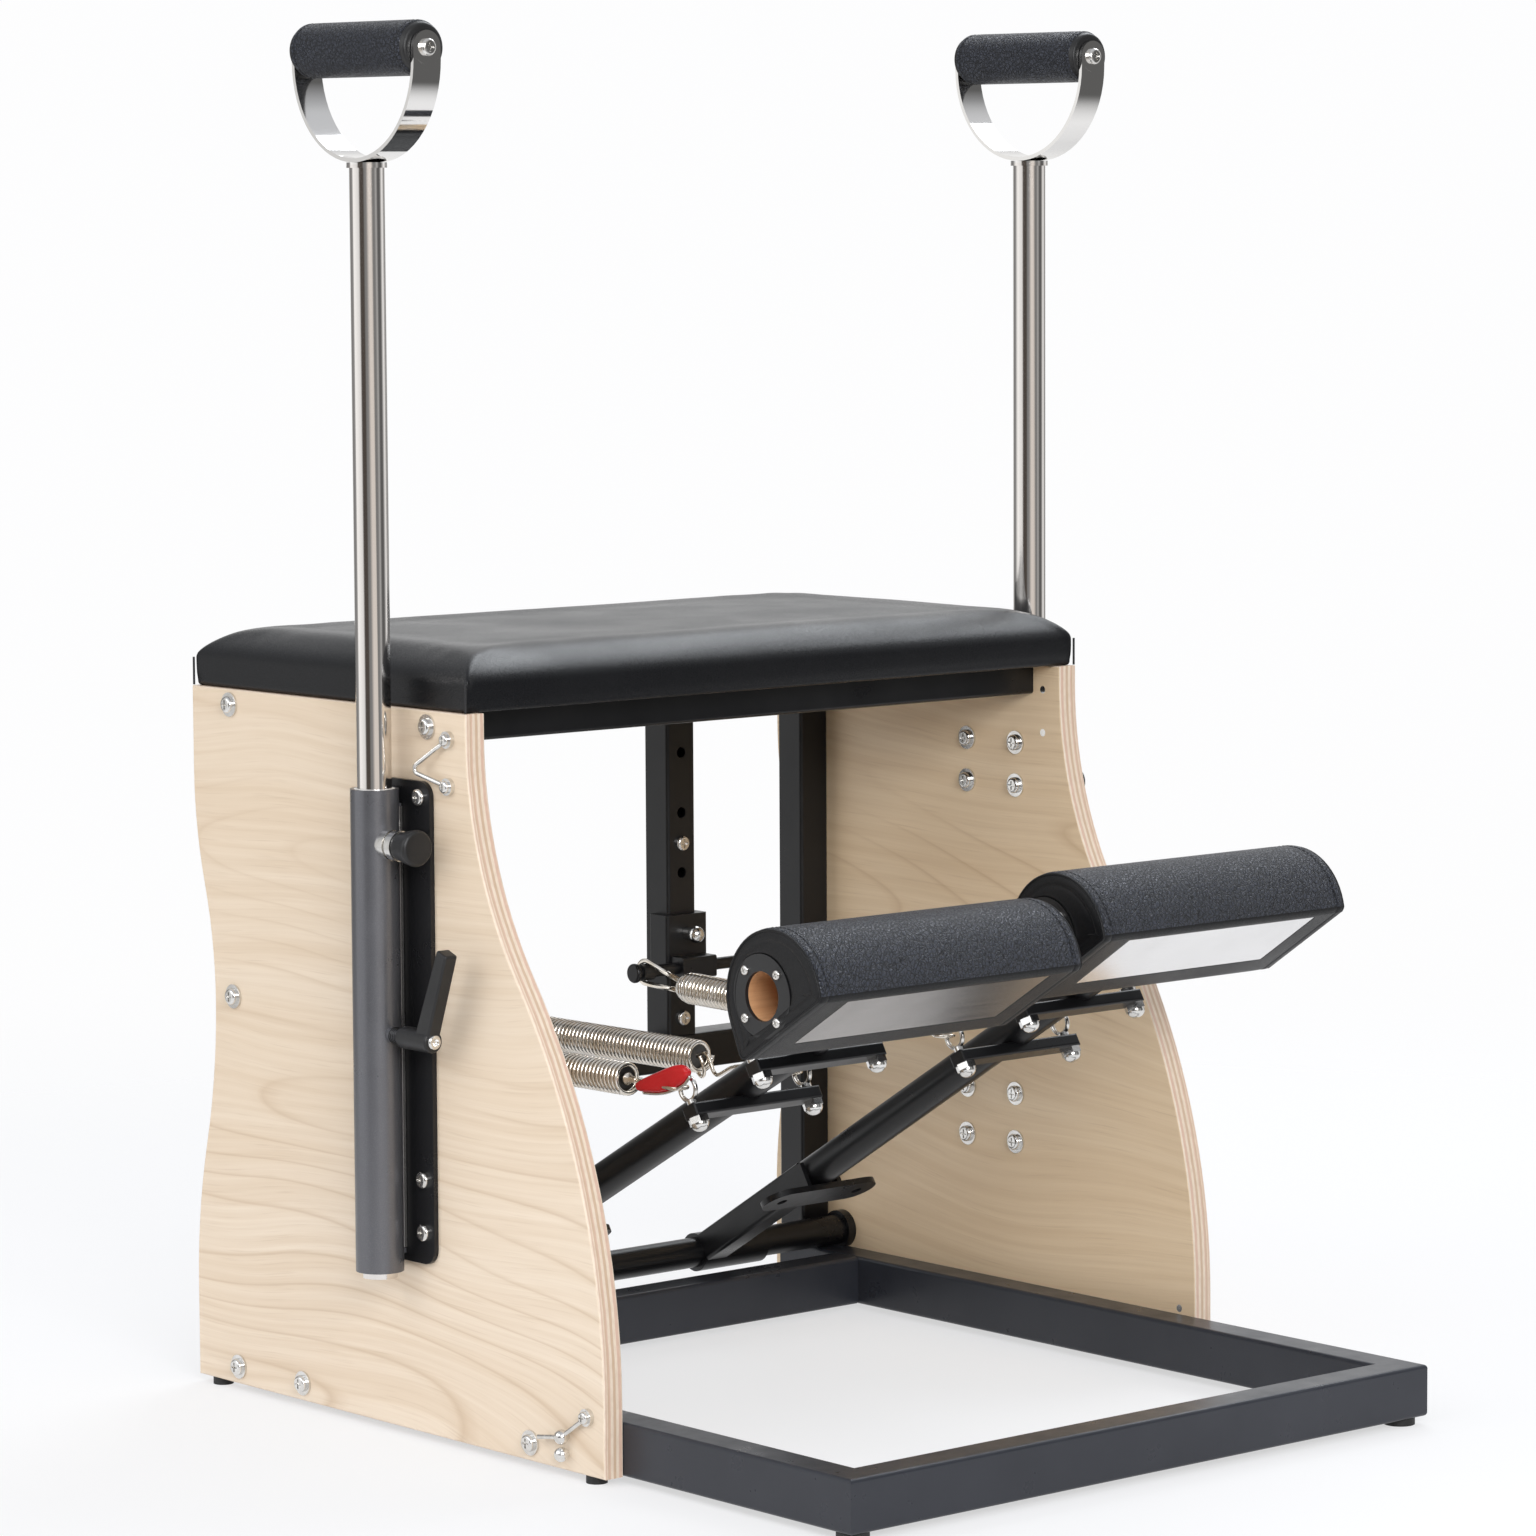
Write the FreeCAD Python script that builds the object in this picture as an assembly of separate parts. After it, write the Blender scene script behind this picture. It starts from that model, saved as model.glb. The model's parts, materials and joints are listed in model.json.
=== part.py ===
import FreeCAD, Part
import math
import os

from FreeCAD import Vector

os.makedirs("parts", exist_ok=True)

# Lengths are millimetres; X points right, Y to the rear and Z up, from the floor's middle point

# Clearances and cuts
slide_gap = 0.3
running_gap = 0.05
overrun = 2.0

# Whole chair
overall_depth = 760.0
foot_height = 6.0

# Side panels
panel_thickness = 18.0
panel_height = 549.0
panel_depth = 510.0
panel_spacing = 587.0
panel_edge_radius = 1.5
sweep_top_drop = 15.0
sweep_foot_height = 54.0
sweep_upper_share = 0.37
waist_depth = 29.0
waist_height_share = 0.55
waist_rise_share = 0.3315
waist_fall_share = 0.4153

# Seat
seat_depth = 350.0
seat_rear_inset = 4.0
seat_rail_width = 30.0
seat_rail_height = 24.0
seat_rail_setback = 31.0
board_thickness = 12.0
board_inset = 14.0
cushion_height = 47.0
cushion_corner_radius = 6.0
cushion_roll = 62.0
cushion_inset_shares = (0.05, 0.0, 0.0, 0.03, 0.09, 0.19, 0.36, 0.62, 1.0, 1.6)
cushion_height_shares = (0.0, 0.2, 0.44, 0.58, 0.7, 0.81, 0.9, 0.955, 0.985, 1.0)

# Base frame and posts
rail_width = 30.0
rail_height = 40.0
post_size = 30.0
tube_wall = 2.0
tube_edge_radius = 3.0
post_rear_inset = 40.0
rear_rail_setback = 70.0
crossbar_height = 204.0
spring_post_offset = 8.0
pin_hole_radius = 4.5
pin_hole_pitch = 50.0
pin_hole_count = 4

# Rubber feet
panel_foot_radius = 8.0
panel_foot_inset = 20.0
rail_foot_radius = 12.0

# Screws and bolts
bolt_head_radius = 6.5
bolt_head_height = 4.0
bolt_head_rounding = 2.4
bolt_shank_radius = 3.0
washer_radius = 9.5
washer_thickness = 1.6
small_head_radius = 3.6
small_head_height = 2.4
small_head_rounding = 1.4
small_shank_radius = 1.8
recess_length_share = 1.15
recess_width_share = 0.24
recess_depth_share = 0.5
nut_radius = 7.0
nut_hex_height = 5.0
nut_dome_height = 6.0
post_bolt_height = 308.0
base_bolt_height = 14.0
front_bolt_inset = 86.0
post_screw_rise = 14.5
stop_screw_clearance = 2.0

# Pedal axle
axle_radius = 12.5
axle_height = 60.0
axle_setback = 18.0
flange_radius = 16.0
flange_thickness = 8.0
hub_wall = 3.5

# Pedal arms
arm_offset = 2.5
arm_rise = 29.4
arm_reach = 633.6
arm_tube_radius = 14.0
arm_tube_wall = 2.5
link_size = 24.0
tube_plug = 11.0
hub_overhang = 56.0
cross_plate_reach = 157.0
cross_plate_length = 114.0
cross_plate_width = 34.0
cross_plate_thickness = 5.0
cross_plate_hole_radius = 4.5
cheek_thickness = 4.0
cheek_height = 22.0
spring_bar_reach = 435.0
spare_bar_pitch = 83.0
spring_bar_length = 124.0
spring_bar_width = 16.0
spring_bar_height = 10.0
spring_bar_sink = 4.0

# Pedal pads
pedal_inner_x = 15.0
pedal_side_gap = 23.5
pedal_radius = 52.0
pedal_round_ahead = 9.0
pedal_round_drop = 8.0
pedal_flat = 31.5
pedal_lip = 4.5
pedal_tilt = 2.6
right_pedal_lift = 1.6
core_cover = 1.5
core_wall = 9.0
disc_edge = 1.0
disc_thickness = 3.0
disc_rim = 12.5
disc_screw_count = 4
plate_thickness = 3.0
plate_width = 68.0
plate_front_inset = 6.0
plate_end_inset = 30.0

# Springs, from the rear hook rod to the eye on the spring bar
spring_offset = 3.0
spring_half_pitch = 56.0
hook_rod_radius = 5.0
hook_rod_setback = 14.0
roller_radius = 7.0
roller_width = 12.0
wire_radius = 1.6
coil_radius = 11.2
coil_start = 59.0
left_spring_drop = 26.0
right_spring_drop = 6.5
outer_turn_count = 27
inner_turn_count = 22
plug_cone = 13.0
plug_depth = 18.0
plug_recess = 4.0
plug_neck_radius = 6.5
link_half_width = 4.0
eye_radius = 9.0
eye_wire_radius = 1.75
eye_rise = 4.0
eye_stem_radius = 4.0
hook_radius = 7.0
hook_return = 9.0
hook_shank = 3.5
hook_gap = 1.1
hook_seat = 12.0
outer_hook_reach = 69.0
inner_hook_reach = 118.0
clip_radius = 7.0
clip_length = 30.0
clip_setback = 9.0
clip_rounding = 5.0

# Carriages on the spring posts
carriage_wall = 6.5
channel_depth = 23.5
carriage_height = 52.0
carriage_rise = 50.0
carriage_travel = 50.0
boss_size = 18.0
boss_half_width = 18.0
rod_end_radius = 8.0
rod_end_thickness = 5.0
rod_end_gap = 3.0
pin_radius = 4.0
carriage_pin_drop = 16.0
carriage_knob_radius = 7.0
carriage_knob_reach = 11.0

# Handle sockets
socket_web_depth = 6.0
socket_y_setback = 80.5
socket_wall = 2.8
socket_top_drop = 59.0
socket_height = 365.0
socket_plate_thickness = 4.0
socket_plate_half_width = 41.0
socket_plate_margin = 6.0
socket_plate_corner = 12.0
socket_web_half_width = 7.0
socket_bolt_pitch = 58.0
socket_bolt_end_inset = 12.0
socket_bolt_low_inset = 24.0
socket_bolt_upper_step = 35.0
socket_bolt_lower_step = 40.0
bush_height = 20.0
bush_wall = 2.3
collar_radius = 11.5
collar_length = 14.0
collar_groove_start = 5.0
collar_groove_width = 2.5
collar_groove_depth = 2.0
collar_drop = 41.0
clamp_drop = 184.0
clamp_boss_radius = 5.8

# Handles
stem_radius = 13.2
stem_wall = 2.0
stem_overhang = 5.0
stem_length = 835.0
stem_hole_count = 5
bow_half_width = 75.0
bow_thickness = 3.0
bow_band = 25.0
bow_leg = 8.0
weld_width = 2.0
weld_height = 4.0
grip_radius = 20.5
grip_rounding = 4.0
grip_end_gap = 0.8
grip_screw_depth = 20.0

# Pull pins and clamp levers on the sockets
knob_neck_radius = 10.5
knob_radius = 14.5
knob_length = 21.0
knob_rounding = 3.0
lever_hub_radius = 8.5
lever_hub_length = 37.0
lever_foot_share = 0.75
lever_length = 73.5
lever_root_half = 8.0
lever_tip_half = 6.0
lever_width = 12.0
lever_lean = 21.3

# Strap hooks on the panels
strap_wire_radius = 1.8
strap_bend_radius = 4.0
strap_eyelet_radius = 6.5
strap_screw_radius = 4.8
strap_screw_height = 3.6
strap_screw_rounding = 2.2
strap_reach = 35.0
strap_span = 35.0
strap_rise_share = 0.31
strap_lift = 9.0
strap_upper_inset = 20.0
strap_upper_drop = 20.0
strap_low_inset = 18.0
strap_low_height = 44.0
strap_low_run = 25.0
strap_low_drop = 18.0
strap_tail = 27.0
strap_tail_drop = 4.0
stud_radius = 5.6
stud_drop = 13.0

# Places worked out from the sizes above
x_axis = Vector(1, 0, 0)
y_axis = Vector(0, 1, 0)
z_axis = Vector(0, 0, 1)
middle = Vector(0, 0, 0)
panel_inner_x = panel_spacing / 2
panel_outer_x = panel_inner_x + panel_thickness
rear_y = overall_depth / 2
front_y = -overall_depth / 2
panel_front_y = rear_y - panel_depth
panel_top = foot_height + panel_height
sweep_low = foot_height + sweep_foot_height
seat_rear_y = rear_y - seat_rear_inset
seat_front_y = seat_rear_y - seat_depth
post_rear_y = rear_y - post_rear_inset
post_front_y = post_rear_y - post_size
post_mid_y = post_rear_y - post_size / 2
post_foot = foot_height + rail_height
seat_rail_low = panel_top - seat_rail_height
front_seat_rail_y = seat_front_y + seat_rail_setback
rear_rail_y = post_front_y - rear_rail_setback
crossbar_top = foot_height + crossbar_height + post_size
carriage_low = crossbar_top + carriage_rise
axle_y = post_front_y - axle_setback
hook_rod_y = post_front_y - hook_rod_setback
hook_rod_height = carriage_low + boss_size / 2
hub_bore = axle_radius + running_gap
hub_radius = axle_radius + hub_wall
carriage_front_y = post_front_y - slide_gap - carriage_wall
carriage_pin_z = carriage_low + carriage_height - carriage_pin_drop
socket_bore_radius = stem_radius + bush_wall
socket_radius = socket_bore_radius + socket_wall
socket_x = panel_outer_x + socket_web_depth + socket_radius
socket_y = seat_front_y + socket_y_setback
socket_high = panel_top - socket_top_drop
socket_low = socket_high - socket_height
collar_z = socket_high - collar_drop
clamp_z = socket_high - clamp_drop
collar_reach = socket_radius + collar_length
stem_low = socket_low - stem_overhang
stem_high = stem_low + stem_length
weld_radius = stem_radius + weld_width
grip_z = stem_high + bow_half_width + bow_leg
board_low = panel_top
pedal_length = panel_inner_x - pedal_side_gap - pedal_inner_x
pedal_tip = pedal_radius + pedal_lip - pedal_round_ahead
pedal_round_flat = pedal_flat - pedal_round_drop
pedal_corner = -pedal_round_ahead - math.sqrt(pedal_radius ** 2 - pedal_round_flat ** 2)
spare_bar_reach = spring_bar_reach + spare_bar_pitch
core_radius = pedal_flat - plate_thickness - core_cover
core_bore_radius = core_radius - core_wall
disc_radius = pedal_flat - disc_edge
arm_x = pedal_inner_x + pedal_length / 2 - arm_offset
spring_x = arm_x - spring_offset
spring_post_x = arm_x - spring_post_offset
bar_low = -arm_tube_radius + spring_bar_sink - spring_bar_height
eye_z = bar_low + spring_bar_height + eye_radius + eye_rise
plug_radius = coil_radius - wire_radius - slide_gap
parallel_share = 0.999


def box(x0, x1, y0, y1, z0, z1):
    return Part.makeBox(x1 - x0, y1 - y0, z1 - z0, Vector(x0, y0, z0))


def rod(start, end, radius):
    run = end - start
    return Part.makeCylinder(radius, run.Length, start, run)


def along(shape, axis):
    """Straight edges of a shape that run along an axis."""
    found = []
    for edge in shape.Edges:
        if len(edge.Vertexes) == 2:
            run = edge.Vertexes[1].Point - edge.Vertexes[0].Point
            if abs(run.dot(axis)) > parallel_share * edge.Length:
                found.append(edge)
    return found


def square_tube(low, high, axis):
    """Square tube with rounded long edges, open at both ends."""
    size = high - low
    outer = Part.makeBox(size.x, size.y, size.z, low)
    outer = outer.makeFillet(tube_edge_radius, along(outer, axis))
    inset = (Vector(1, 1, 1) - axis) * tube_wall - axis * overrun
    bore = size - inset * 2
    return outer.cut(Part.makeBox(bore.x, bore.y, bore.z, low + inset))


def prism(points, low, high):
    corners = [Vector(x, y, low) for x, y in points]
    return Part.Face(Part.makePolygon(corners + corners[:1])).extrude(z_axis * (high - low))


def turned(profile):
    """Solid turned about Z from (radius, height) points that start and end on the axis."""
    points = [Vector(radius, 0, height) for radius, height in profile]
    return Part.Face(Part.makePolygon(points + points[:1])).revolve(middle, z_axis)


def placed(shape, point, direction):
    """Copy of a shape built along +Z, turned to a direction and moved to a point."""
    copy = shape.copy()
    copy.Placement = FreeCAD.Placement(point, FreeCAD.Rotation(z_axis, direction))
    return copy


def wire_rod(edges, start, direction, radius):
    """Round wire of one radius along joined lines and arcs."""
    section = Part.Wire(Part.makeCircle(radius, start, direction))
    return Part.Wire(edges).makePipeShell([section], True, False)


def line(start, end):
    return Part.LineSegment(start, end).toShape()


def arc(start, through, end):
    return Part.Arc(start, through, end).toShape()


def bent(points, radius):
    """Lines through points, with an arc round each inner corner."""
    edges = []
    start = points[0]
    for before, corner, after in zip(points, points[1:], points[2:]):
        back = (before - corner).normalize()
        on = (after - corner).normalize()
        half = back.getAngle(on) / 2
        enter = corner + back * (radius / math.tan(half))
        leave = corner + on * (radius / math.tan(half))
        peak = corner + (back + on).normalize() * (radius / math.sin(half) - radius)
        edges += [line(start, enter), arc(enter, peak, leave)]
        start = leave
    return edges + [line(start, points[-1])]


def pan_screw(head_radius, head_height, rounding, shank_radius, shank_length):
    """Cross-recessed pan-head screw whose head rests on Z = 0 and whose shank points down."""
    head = Part.makeCylinder(head_radius, head_height)
    rim = [edge for edge in head.Edges if edge.BoundBox.ZMin > 0]
    head = head.makeFillet(rounding, rim)
    half_length = head_radius * recess_length_share / 2
    half_width = head_radius * recess_width_share / 2
    floor = head_height * (1 - recess_depth_share)
    top = head_height + overrun
    head = head.cut(box(-half_length, half_length, -half_width, half_width, floor, top))
    head = head.cut(box(-half_width, half_width, -half_length, half_length, floor, top))
    return head.fuse(rod(middle, z_axis * -shank_length, shank_radius)).removeSplitter()


def washer(shank_radius):
    ring = Part.makeCylinder(washer_radius, washer_thickness)
    return ring.cut(rod(z_axis * -overrun, z_axis * (washer_thickness + overrun), shank_radius))


def dome_nut(bore_radius):
    """Dome nut hanging below Z = 0, with a blind bore."""
    corner = nut_radius / math.cos(math.pi / 6)
    angles = [math.pi / 3 * step for step in range(6)]
    outline = [(corner * math.cos(angle), corner * math.sin(angle)) for angle in angles]
    body = prism(outline, -nut_hex_height, 0)
    dome = Part.makeSphere(nut_radius)
    squash = FreeCAD.Matrix()
    squash.scale(1, 1, nut_dome_height / nut_radius)
    dome = dome.transformGeometry(squash)
    dome.translate(z_axis * -nut_hex_height)
    return body.fuse(dome).cut(rod(z_axis * overrun, z_axis * -nut_hex_height, bore_radius))


def s_bend(y0, z0, y1, z1, first_share):
    """Two arcs that meet smoothly, upright at both ends, from an upper to a lower point."""
    drop = z0 - z1
    turn = 2 * math.atan2(abs(y1 - y0), drop)
    first = drop / math.sin(turn) * first_share
    second = drop / math.sin(turn) - first
    side = math.copysign(1, y1 - y0)

    def upper(angle):
        return Vector(0, y0 + side * first * (1 - math.cos(angle)), z0 - first * math.sin(angle))

    def lower(angle):
        return Vector(0, y1 - side * second * (1 - math.cos(angle)), z1 + second * math.sin(angle))

    return [arc(upper(0), upper(turn / 2), upper(turn)), arc(lower(turn), lower(turn / 2), lower(0))]


def mirrored(shape):
    return shape.mirror(middle, x_axis)


def save(node, pieces):
    solids = [solid for piece in pieces for solid in piece.Solids]
    whole = solids[0] if len(solids) == 1 else Part.makeCompound(solids)
    whole.exportStep("parts/" + node + ".step")


def save_sides(name, pieces):
    """Right-hand pieces as they are, and left-hand ones mirrored."""
    save("right_" + name, pieces)
    save("left_" + name, [mirrored(piece) for piece in pieces])


# Where the bolts and hook screws go through the right panel

def panel_bolt_spots():
    seat_z = seat_rail_low + seat_rail_height / 2
    base_z = foot_height + base_bolt_height
    return [
        (post_mid_y, seat_z),
        (front_seat_rail_y + seat_rail_width / 2, seat_z),
        (post_mid_y, post_bolt_height + foot_height),
        (post_mid_y, base_z),
        (rear_rail_y, base_z),
        (panel_front_y + front_bolt_inset, base_z),
    ]


def socket_bolt_spots():
    high = socket_high + socket_plate_margin - socket_bolt_end_inset
    low = socket_low + socket_plate_margin + socket_bolt_low_inset
    rows = (high, high - socket_bolt_upper_step, low + socket_bolt_lower_step, low)
    columns = (socket_y - socket_bolt_pitch / 2, socket_y + socket_bolt_pitch / 2)
    return [(y, z) for z in rows for y in columns]


def strap_screw_spots():
    upper_y = seat_front_y + strap_upper_inset
    upper_z = panel_top - strap_upper_drop
    low = (panel_front_y + strap_low_inset, foot_height + strap_low_height)
    return [(upper_y, upper_z), (upper_y, upper_z - strap_span), low]


def strap_stud_spots():
    low_y, low_z = strap_screw_spots()[2]
    upper = (low_y + strap_low_run, low_z - strap_low_drop)
    return [upper, (upper[0], upper[1] - stud_drop)]


# Side panels

def side_panel():
    edges = [line(Vector(0, seat_front_y, panel_top), Vector(0, seat_front_y, panel_top - sweep_top_drop))]
    edges += s_bend(seat_front_y, panel_top - sweep_top_drop, panel_front_y, sweep_low, sweep_upper_share)
    edges.append(line(Vector(0, panel_front_y, sweep_low), Vector(0, panel_front_y, foot_height)))
    edges.append(line(Vector(0, panel_front_y, foot_height), Vector(0, rear_y, foot_height)))
    waist_z = foot_height + panel_height * waist_height_share
    waist_low = waist_z - panel_height * waist_fall_share
    waist_high = waist_z + panel_height * waist_rise_share
    edges.append(line(Vector(0, rear_y, foot_height), Vector(0, rear_y, waist_low)))
    edges += s_bend(rear_y - waist_depth, waist_z, rear_y, waist_low, 1 / 2)
    edges += s_bend(seat_rear_y, waist_high, rear_y - waist_depth, waist_z, 1 / 2)
    edges.append(line(Vector(0, seat_rear_y, waist_high), Vector(0, seat_rear_y, panel_top)))
    edges.append(line(Vector(0, seat_rear_y, panel_top), Vector(0, seat_front_y, panel_top)))
    outline = Part.Wire(Part.__sortEdges__(edges))
    panel = Part.Face(outline).extrude(x_axis * panel_thickness)
    panel.translate(x_axis * panel_inner_x)
    faces = [face for face in panel.Faces if abs(face.normalAt(0, 0).x) > parallel_share]
    panel = panel.makeFillet(panel_edge_radius, [edge for face in faces for edge in face.Edges])
    spots = panel_bolt_spots() + socket_bolt_spots() + strap_screw_spots() + strap_stud_spots()
    for y, z in spots:
        hole = rod(Vector(panel_inner_x - overrun, y, z), Vector(panel_outer_x + overrun, y, z), bolt_shank_radius)
        panel = panel.cut(hole)
    return panel


def panel_bolts():
    bolt = pan_screw(bolt_head_radius, bolt_head_height, bolt_head_rounding, bolt_shank_radius,
                     panel_thickness + washer_thickness)
    ring = washer(bolt_shank_radius)
    pieces = []
    for y, z in panel_bolt_spots():
        pieces.append(placed(ring, Vector(panel_outer_x, y, z), x_axis))
        pieces.append(placed(bolt, Vector(panel_outer_x + washer_thickness, y, z), x_axis))
    return pieces + [mirrored(piece) for piece in pieces]


def strap_hooks():
    """Bent wires on the panel: a pointed one under the seat, and a short one over a ball stud near the floor."""
    eyelet_thickness = 2 * strap_wire_radius
    wire_x = panel_outer_x + strap_wire_radius
    upper, under, low = [Vector(wire_x, y, z) for y, z in strap_screw_spots()]
    stud, lone_stud = [Vector(panel_outer_x + stud_radius, y, z) for y, z in strap_stud_spots()]
    point = upper + Vector(strap_lift, strap_reach, -strap_span * (1 - strap_rise_share))
    tail = stud + Vector(0, strap_tail, -strap_tail_drop)
    screw = pan_screw(strap_screw_radius, strap_screw_height, strap_screw_rounding, bolt_shank_radius,
                      panel_thickness + eyelet_thickness)
    pieces = []
    for path, ends in (((upper, point, under), (upper, under)), ((low, stud, tail), (low,))):
        hook = wire_rod(bent(path, strap_bend_radius), path[0], path[1] - path[0], strap_wire_radius)
        below = box(panel_outer_x - strap_lift, panel_outer_x, panel_front_y, rear_y, 0, panel_top)
        hook = hook.cut(below)
        for end in ends:
            foot = Vector(panel_outer_x, end.y, end.z)
            hook = hook.fuse(rod(foot, foot + x_axis * eyelet_thickness, strap_eyelet_radius))
        if stud in path:
            hook = hook.fuse(ball_stud(stud))
        for end in ends:
            foot = Vector(panel_outer_x, end.y, end.z)
            hook = hook.cut(rod(foot - x_axis * overrun, foot + x_axis * eyelet_thickness, bolt_shank_radius))
            hook = hook.cut(rod(foot + x_axis * eyelet_thickness, foot + x_axis * strap_lift, strap_screw_radius))
            pieces.append(placed(screw, foot + x_axis * eyelet_thickness, x_axis))
        pieces.append(hook.removeSplitter())
    pieces.append(ball_stud(lone_stud))
    return pieces + [mirrored(piece) for piece in pieces]


def ball_stud(centre):
    """Ball on a shank that goes through the panel."""
    shank = rod(Vector(panel_inner_x, centre.y, centre.z), centre, bolt_shank_radius)
    return Part.makeSphere(stud_radius, centre).fuse(shank).removeSplitter()


# Base frame and posts

def base_front_rail():
    def outline(inset):
        near = panel_inner_x - inset
        far = panel_inner_x - rail_width + inset
        low = front_y + inset
        high = front_y + rail_width - inset
        return [(-near, low), (near, low), (far, high), (-far, high)]

    rail = prism(outline(0), foot_height, post_foot)
    rail = rail.makeFillet(tube_edge_radius, along(rail, x_axis))
    return rail.cut(prism(outline(tube_wall), foot_height + tube_wall, post_foot - tube_wall))


def base_side_rail():
    def outline(inset, end):
        near = panel_inner_x - inset
        far = panel_inner_x - rail_width + inset
        return [(near, front_y + inset), (near, end), (far, end), (far, front_y + rail_width - inset)]

    rail = prism(outline(0, post_rear_y), foot_height, post_foot)
    rail = rail.makeFillet(tube_edge_radius, along(rail, y_axis))
    bore = prism(outline(tube_wall, post_rear_y + overrun), foot_height + tube_wall, post_foot - tube_wall)
    return rail.cut(bore)


def cross_tube(y, low, height, width):
    """Square tube across the chair between the panels."""
    return square_tube(Vector(-panel_inner_x, y, low), Vector(panel_inner_x, y + width, low + height), x_axis)


def upright(x, low):
    """Square post from a seat on a rail up to the rear seat rail."""
    half = post_size / 2
    return square_tube(Vector(x - half, post_front_y, low), Vector(x + half, post_rear_y, seat_rail_low), z_axis)


def pin_hole_heights():
    return [carriage_pin_z + pin_hole_pitch * step for step in range(pin_hole_count)]


def post_screw_heights():
    stop = carriage_low + carriage_height + carriage_travel + stop_screw_clearance + bolt_head_radius
    return [stop, crossbar_top + post_screw_rise]


def spring_post():
    post = upright(spring_post_x, crossbar_top)
    for z in pin_hole_heights():
        post = post.cut(rod(Vector(spring_post_x, post_front_y - overrun, z),
                            Vector(spring_post_x, post_front_y + tube_wall + overrun, z), pin_hole_radius))
    for z in post_screw_heights():
        post = post.cut(rod(Vector(spring_post_x, post_front_y - overrun, z),
                            Vector(spring_post_x, post_front_y + tube_wall + overrun, z), bolt_shank_radius))
    return post


def post_screws():
    screw = pan_screw(bolt_head_radius, bolt_head_height, bolt_head_rounding, bolt_shank_radius, tube_wall)
    pieces = [placed(screw, Vector(spring_post_x, post_front_y, z), -y_axis) for z in post_screw_heights()]
    return pieces + [mirrored(piece) for piece in pieces]


def rubber_feet():
    panel_x = panel_inner_x + panel_thickness / 2
    rail_x = panel_inner_x - rail_width / 2
    spots = [
        (panel_x, rear_y - panel_foot_inset, panel_foot_radius),
        (panel_x, panel_front_y + panel_foot_inset, panel_foot_radius),
        (rail_x, front_y + rail_width / 2, rail_foot_radius),
    ]
    pieces = [Part.makeCylinder(radius, foot_height, Vector(x, y, 0)) for x, y, radius in spots]
    return pieces + [mirrored(piece) for piece in pieces]


# Seat

def rounded_wire(inset, z):
    """Rounded rectangle of the seat's outline, drawn in by an inset."""
    block = box(-panel_outer_x + inset, panel_outer_x - inset, seat_front_y + inset, seat_rear_y - inset,
                z, z + overrun)
    block = block.makeFillet(cushion_corner_radius, along(block, z_axis))
    return [face for face in block.Faces if face.BoundBox.ZLength < running_gap][0].OuterWire


def seat_board():
    return box(-panel_outer_x + board_inset, panel_outer_x - board_inset, seat_front_y + board_inset,
               seat_rear_y - board_inset, board_low, board_low + board_thickness)


def seat_cushion(board):
    """Crowned pad whose sides draw in below their fullest line, with the board let into its underside."""
    rings = []
    for inset_share, height_share in zip(cushion_inset_shares, cushion_height_shares):
        rings.append(rounded_wire(inset_share * cushion_roll, board_low + height_share * cushion_height))
    return Part.makeLoft(rings, True, True).cut(board)


# Pedal axle

def pedal_axle():
    """Fixed shaft across the chair; the flange against each panel is cut flat where it stands on the base rail."""
    end = Vector(panel_inner_x, axle_y, axle_height)
    far = Vector(-panel_inner_x, axle_y, axle_height)
    axle = rod(far, end, axle_radius)
    flanges = [rod(end, end - x_axis * flange_thickness, flange_radius)]
    flanges.append(rod(far, far + x_axis * flange_thickness, flange_radius))
    bed = box(-panel_inner_x, panel_inner_x, axle_y - flange_radius, axle_y + flange_radius, 0, post_foot)
    return axle.fuse(flanges).removeSplitter().cut(bed)


# Pedals are drawn with the arm level along -Y from the axle, then raised to their rest angle

def raised(shape, lift):
    copy = shape.copy()
    copy.rotate(middle, x_axis, -arm_rise - lift)
    copy.translate(Vector(0, axle_y, axle_height))
    return copy


def save_pedals(name, pieces):
    """The same pieces on both pedals; the right pedal rests a little higher."""
    save("left_" + name, [mirrored(raised(piece, 0)) for piece in pieces])
    save("right_" + name, [raised(piece, right_pedal_lift) for piece in pieces])


def on_arm(shape):
    """Pad pieces, drawn about the pad's own axis with the flat level, set on the end of the arm."""
    copy = shape.copy()
    copy.rotate(middle, x_axis, -pedal_tilt)
    copy.translate(y_axis * -arm_reach)
    return copy


def arm_tube(radius):
    return rod(Vector(arm_x, -cross_plate_reach, 0), Vector(arm_x, -arm_reach, 0), radius)


def pad_core_blank():
    blank = rod(Vector(pedal_inner_x, 0, 0), Vector(pedal_inner_x + pedal_length, 0, 0), core_radius)
    return on_arm(blank)


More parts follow.
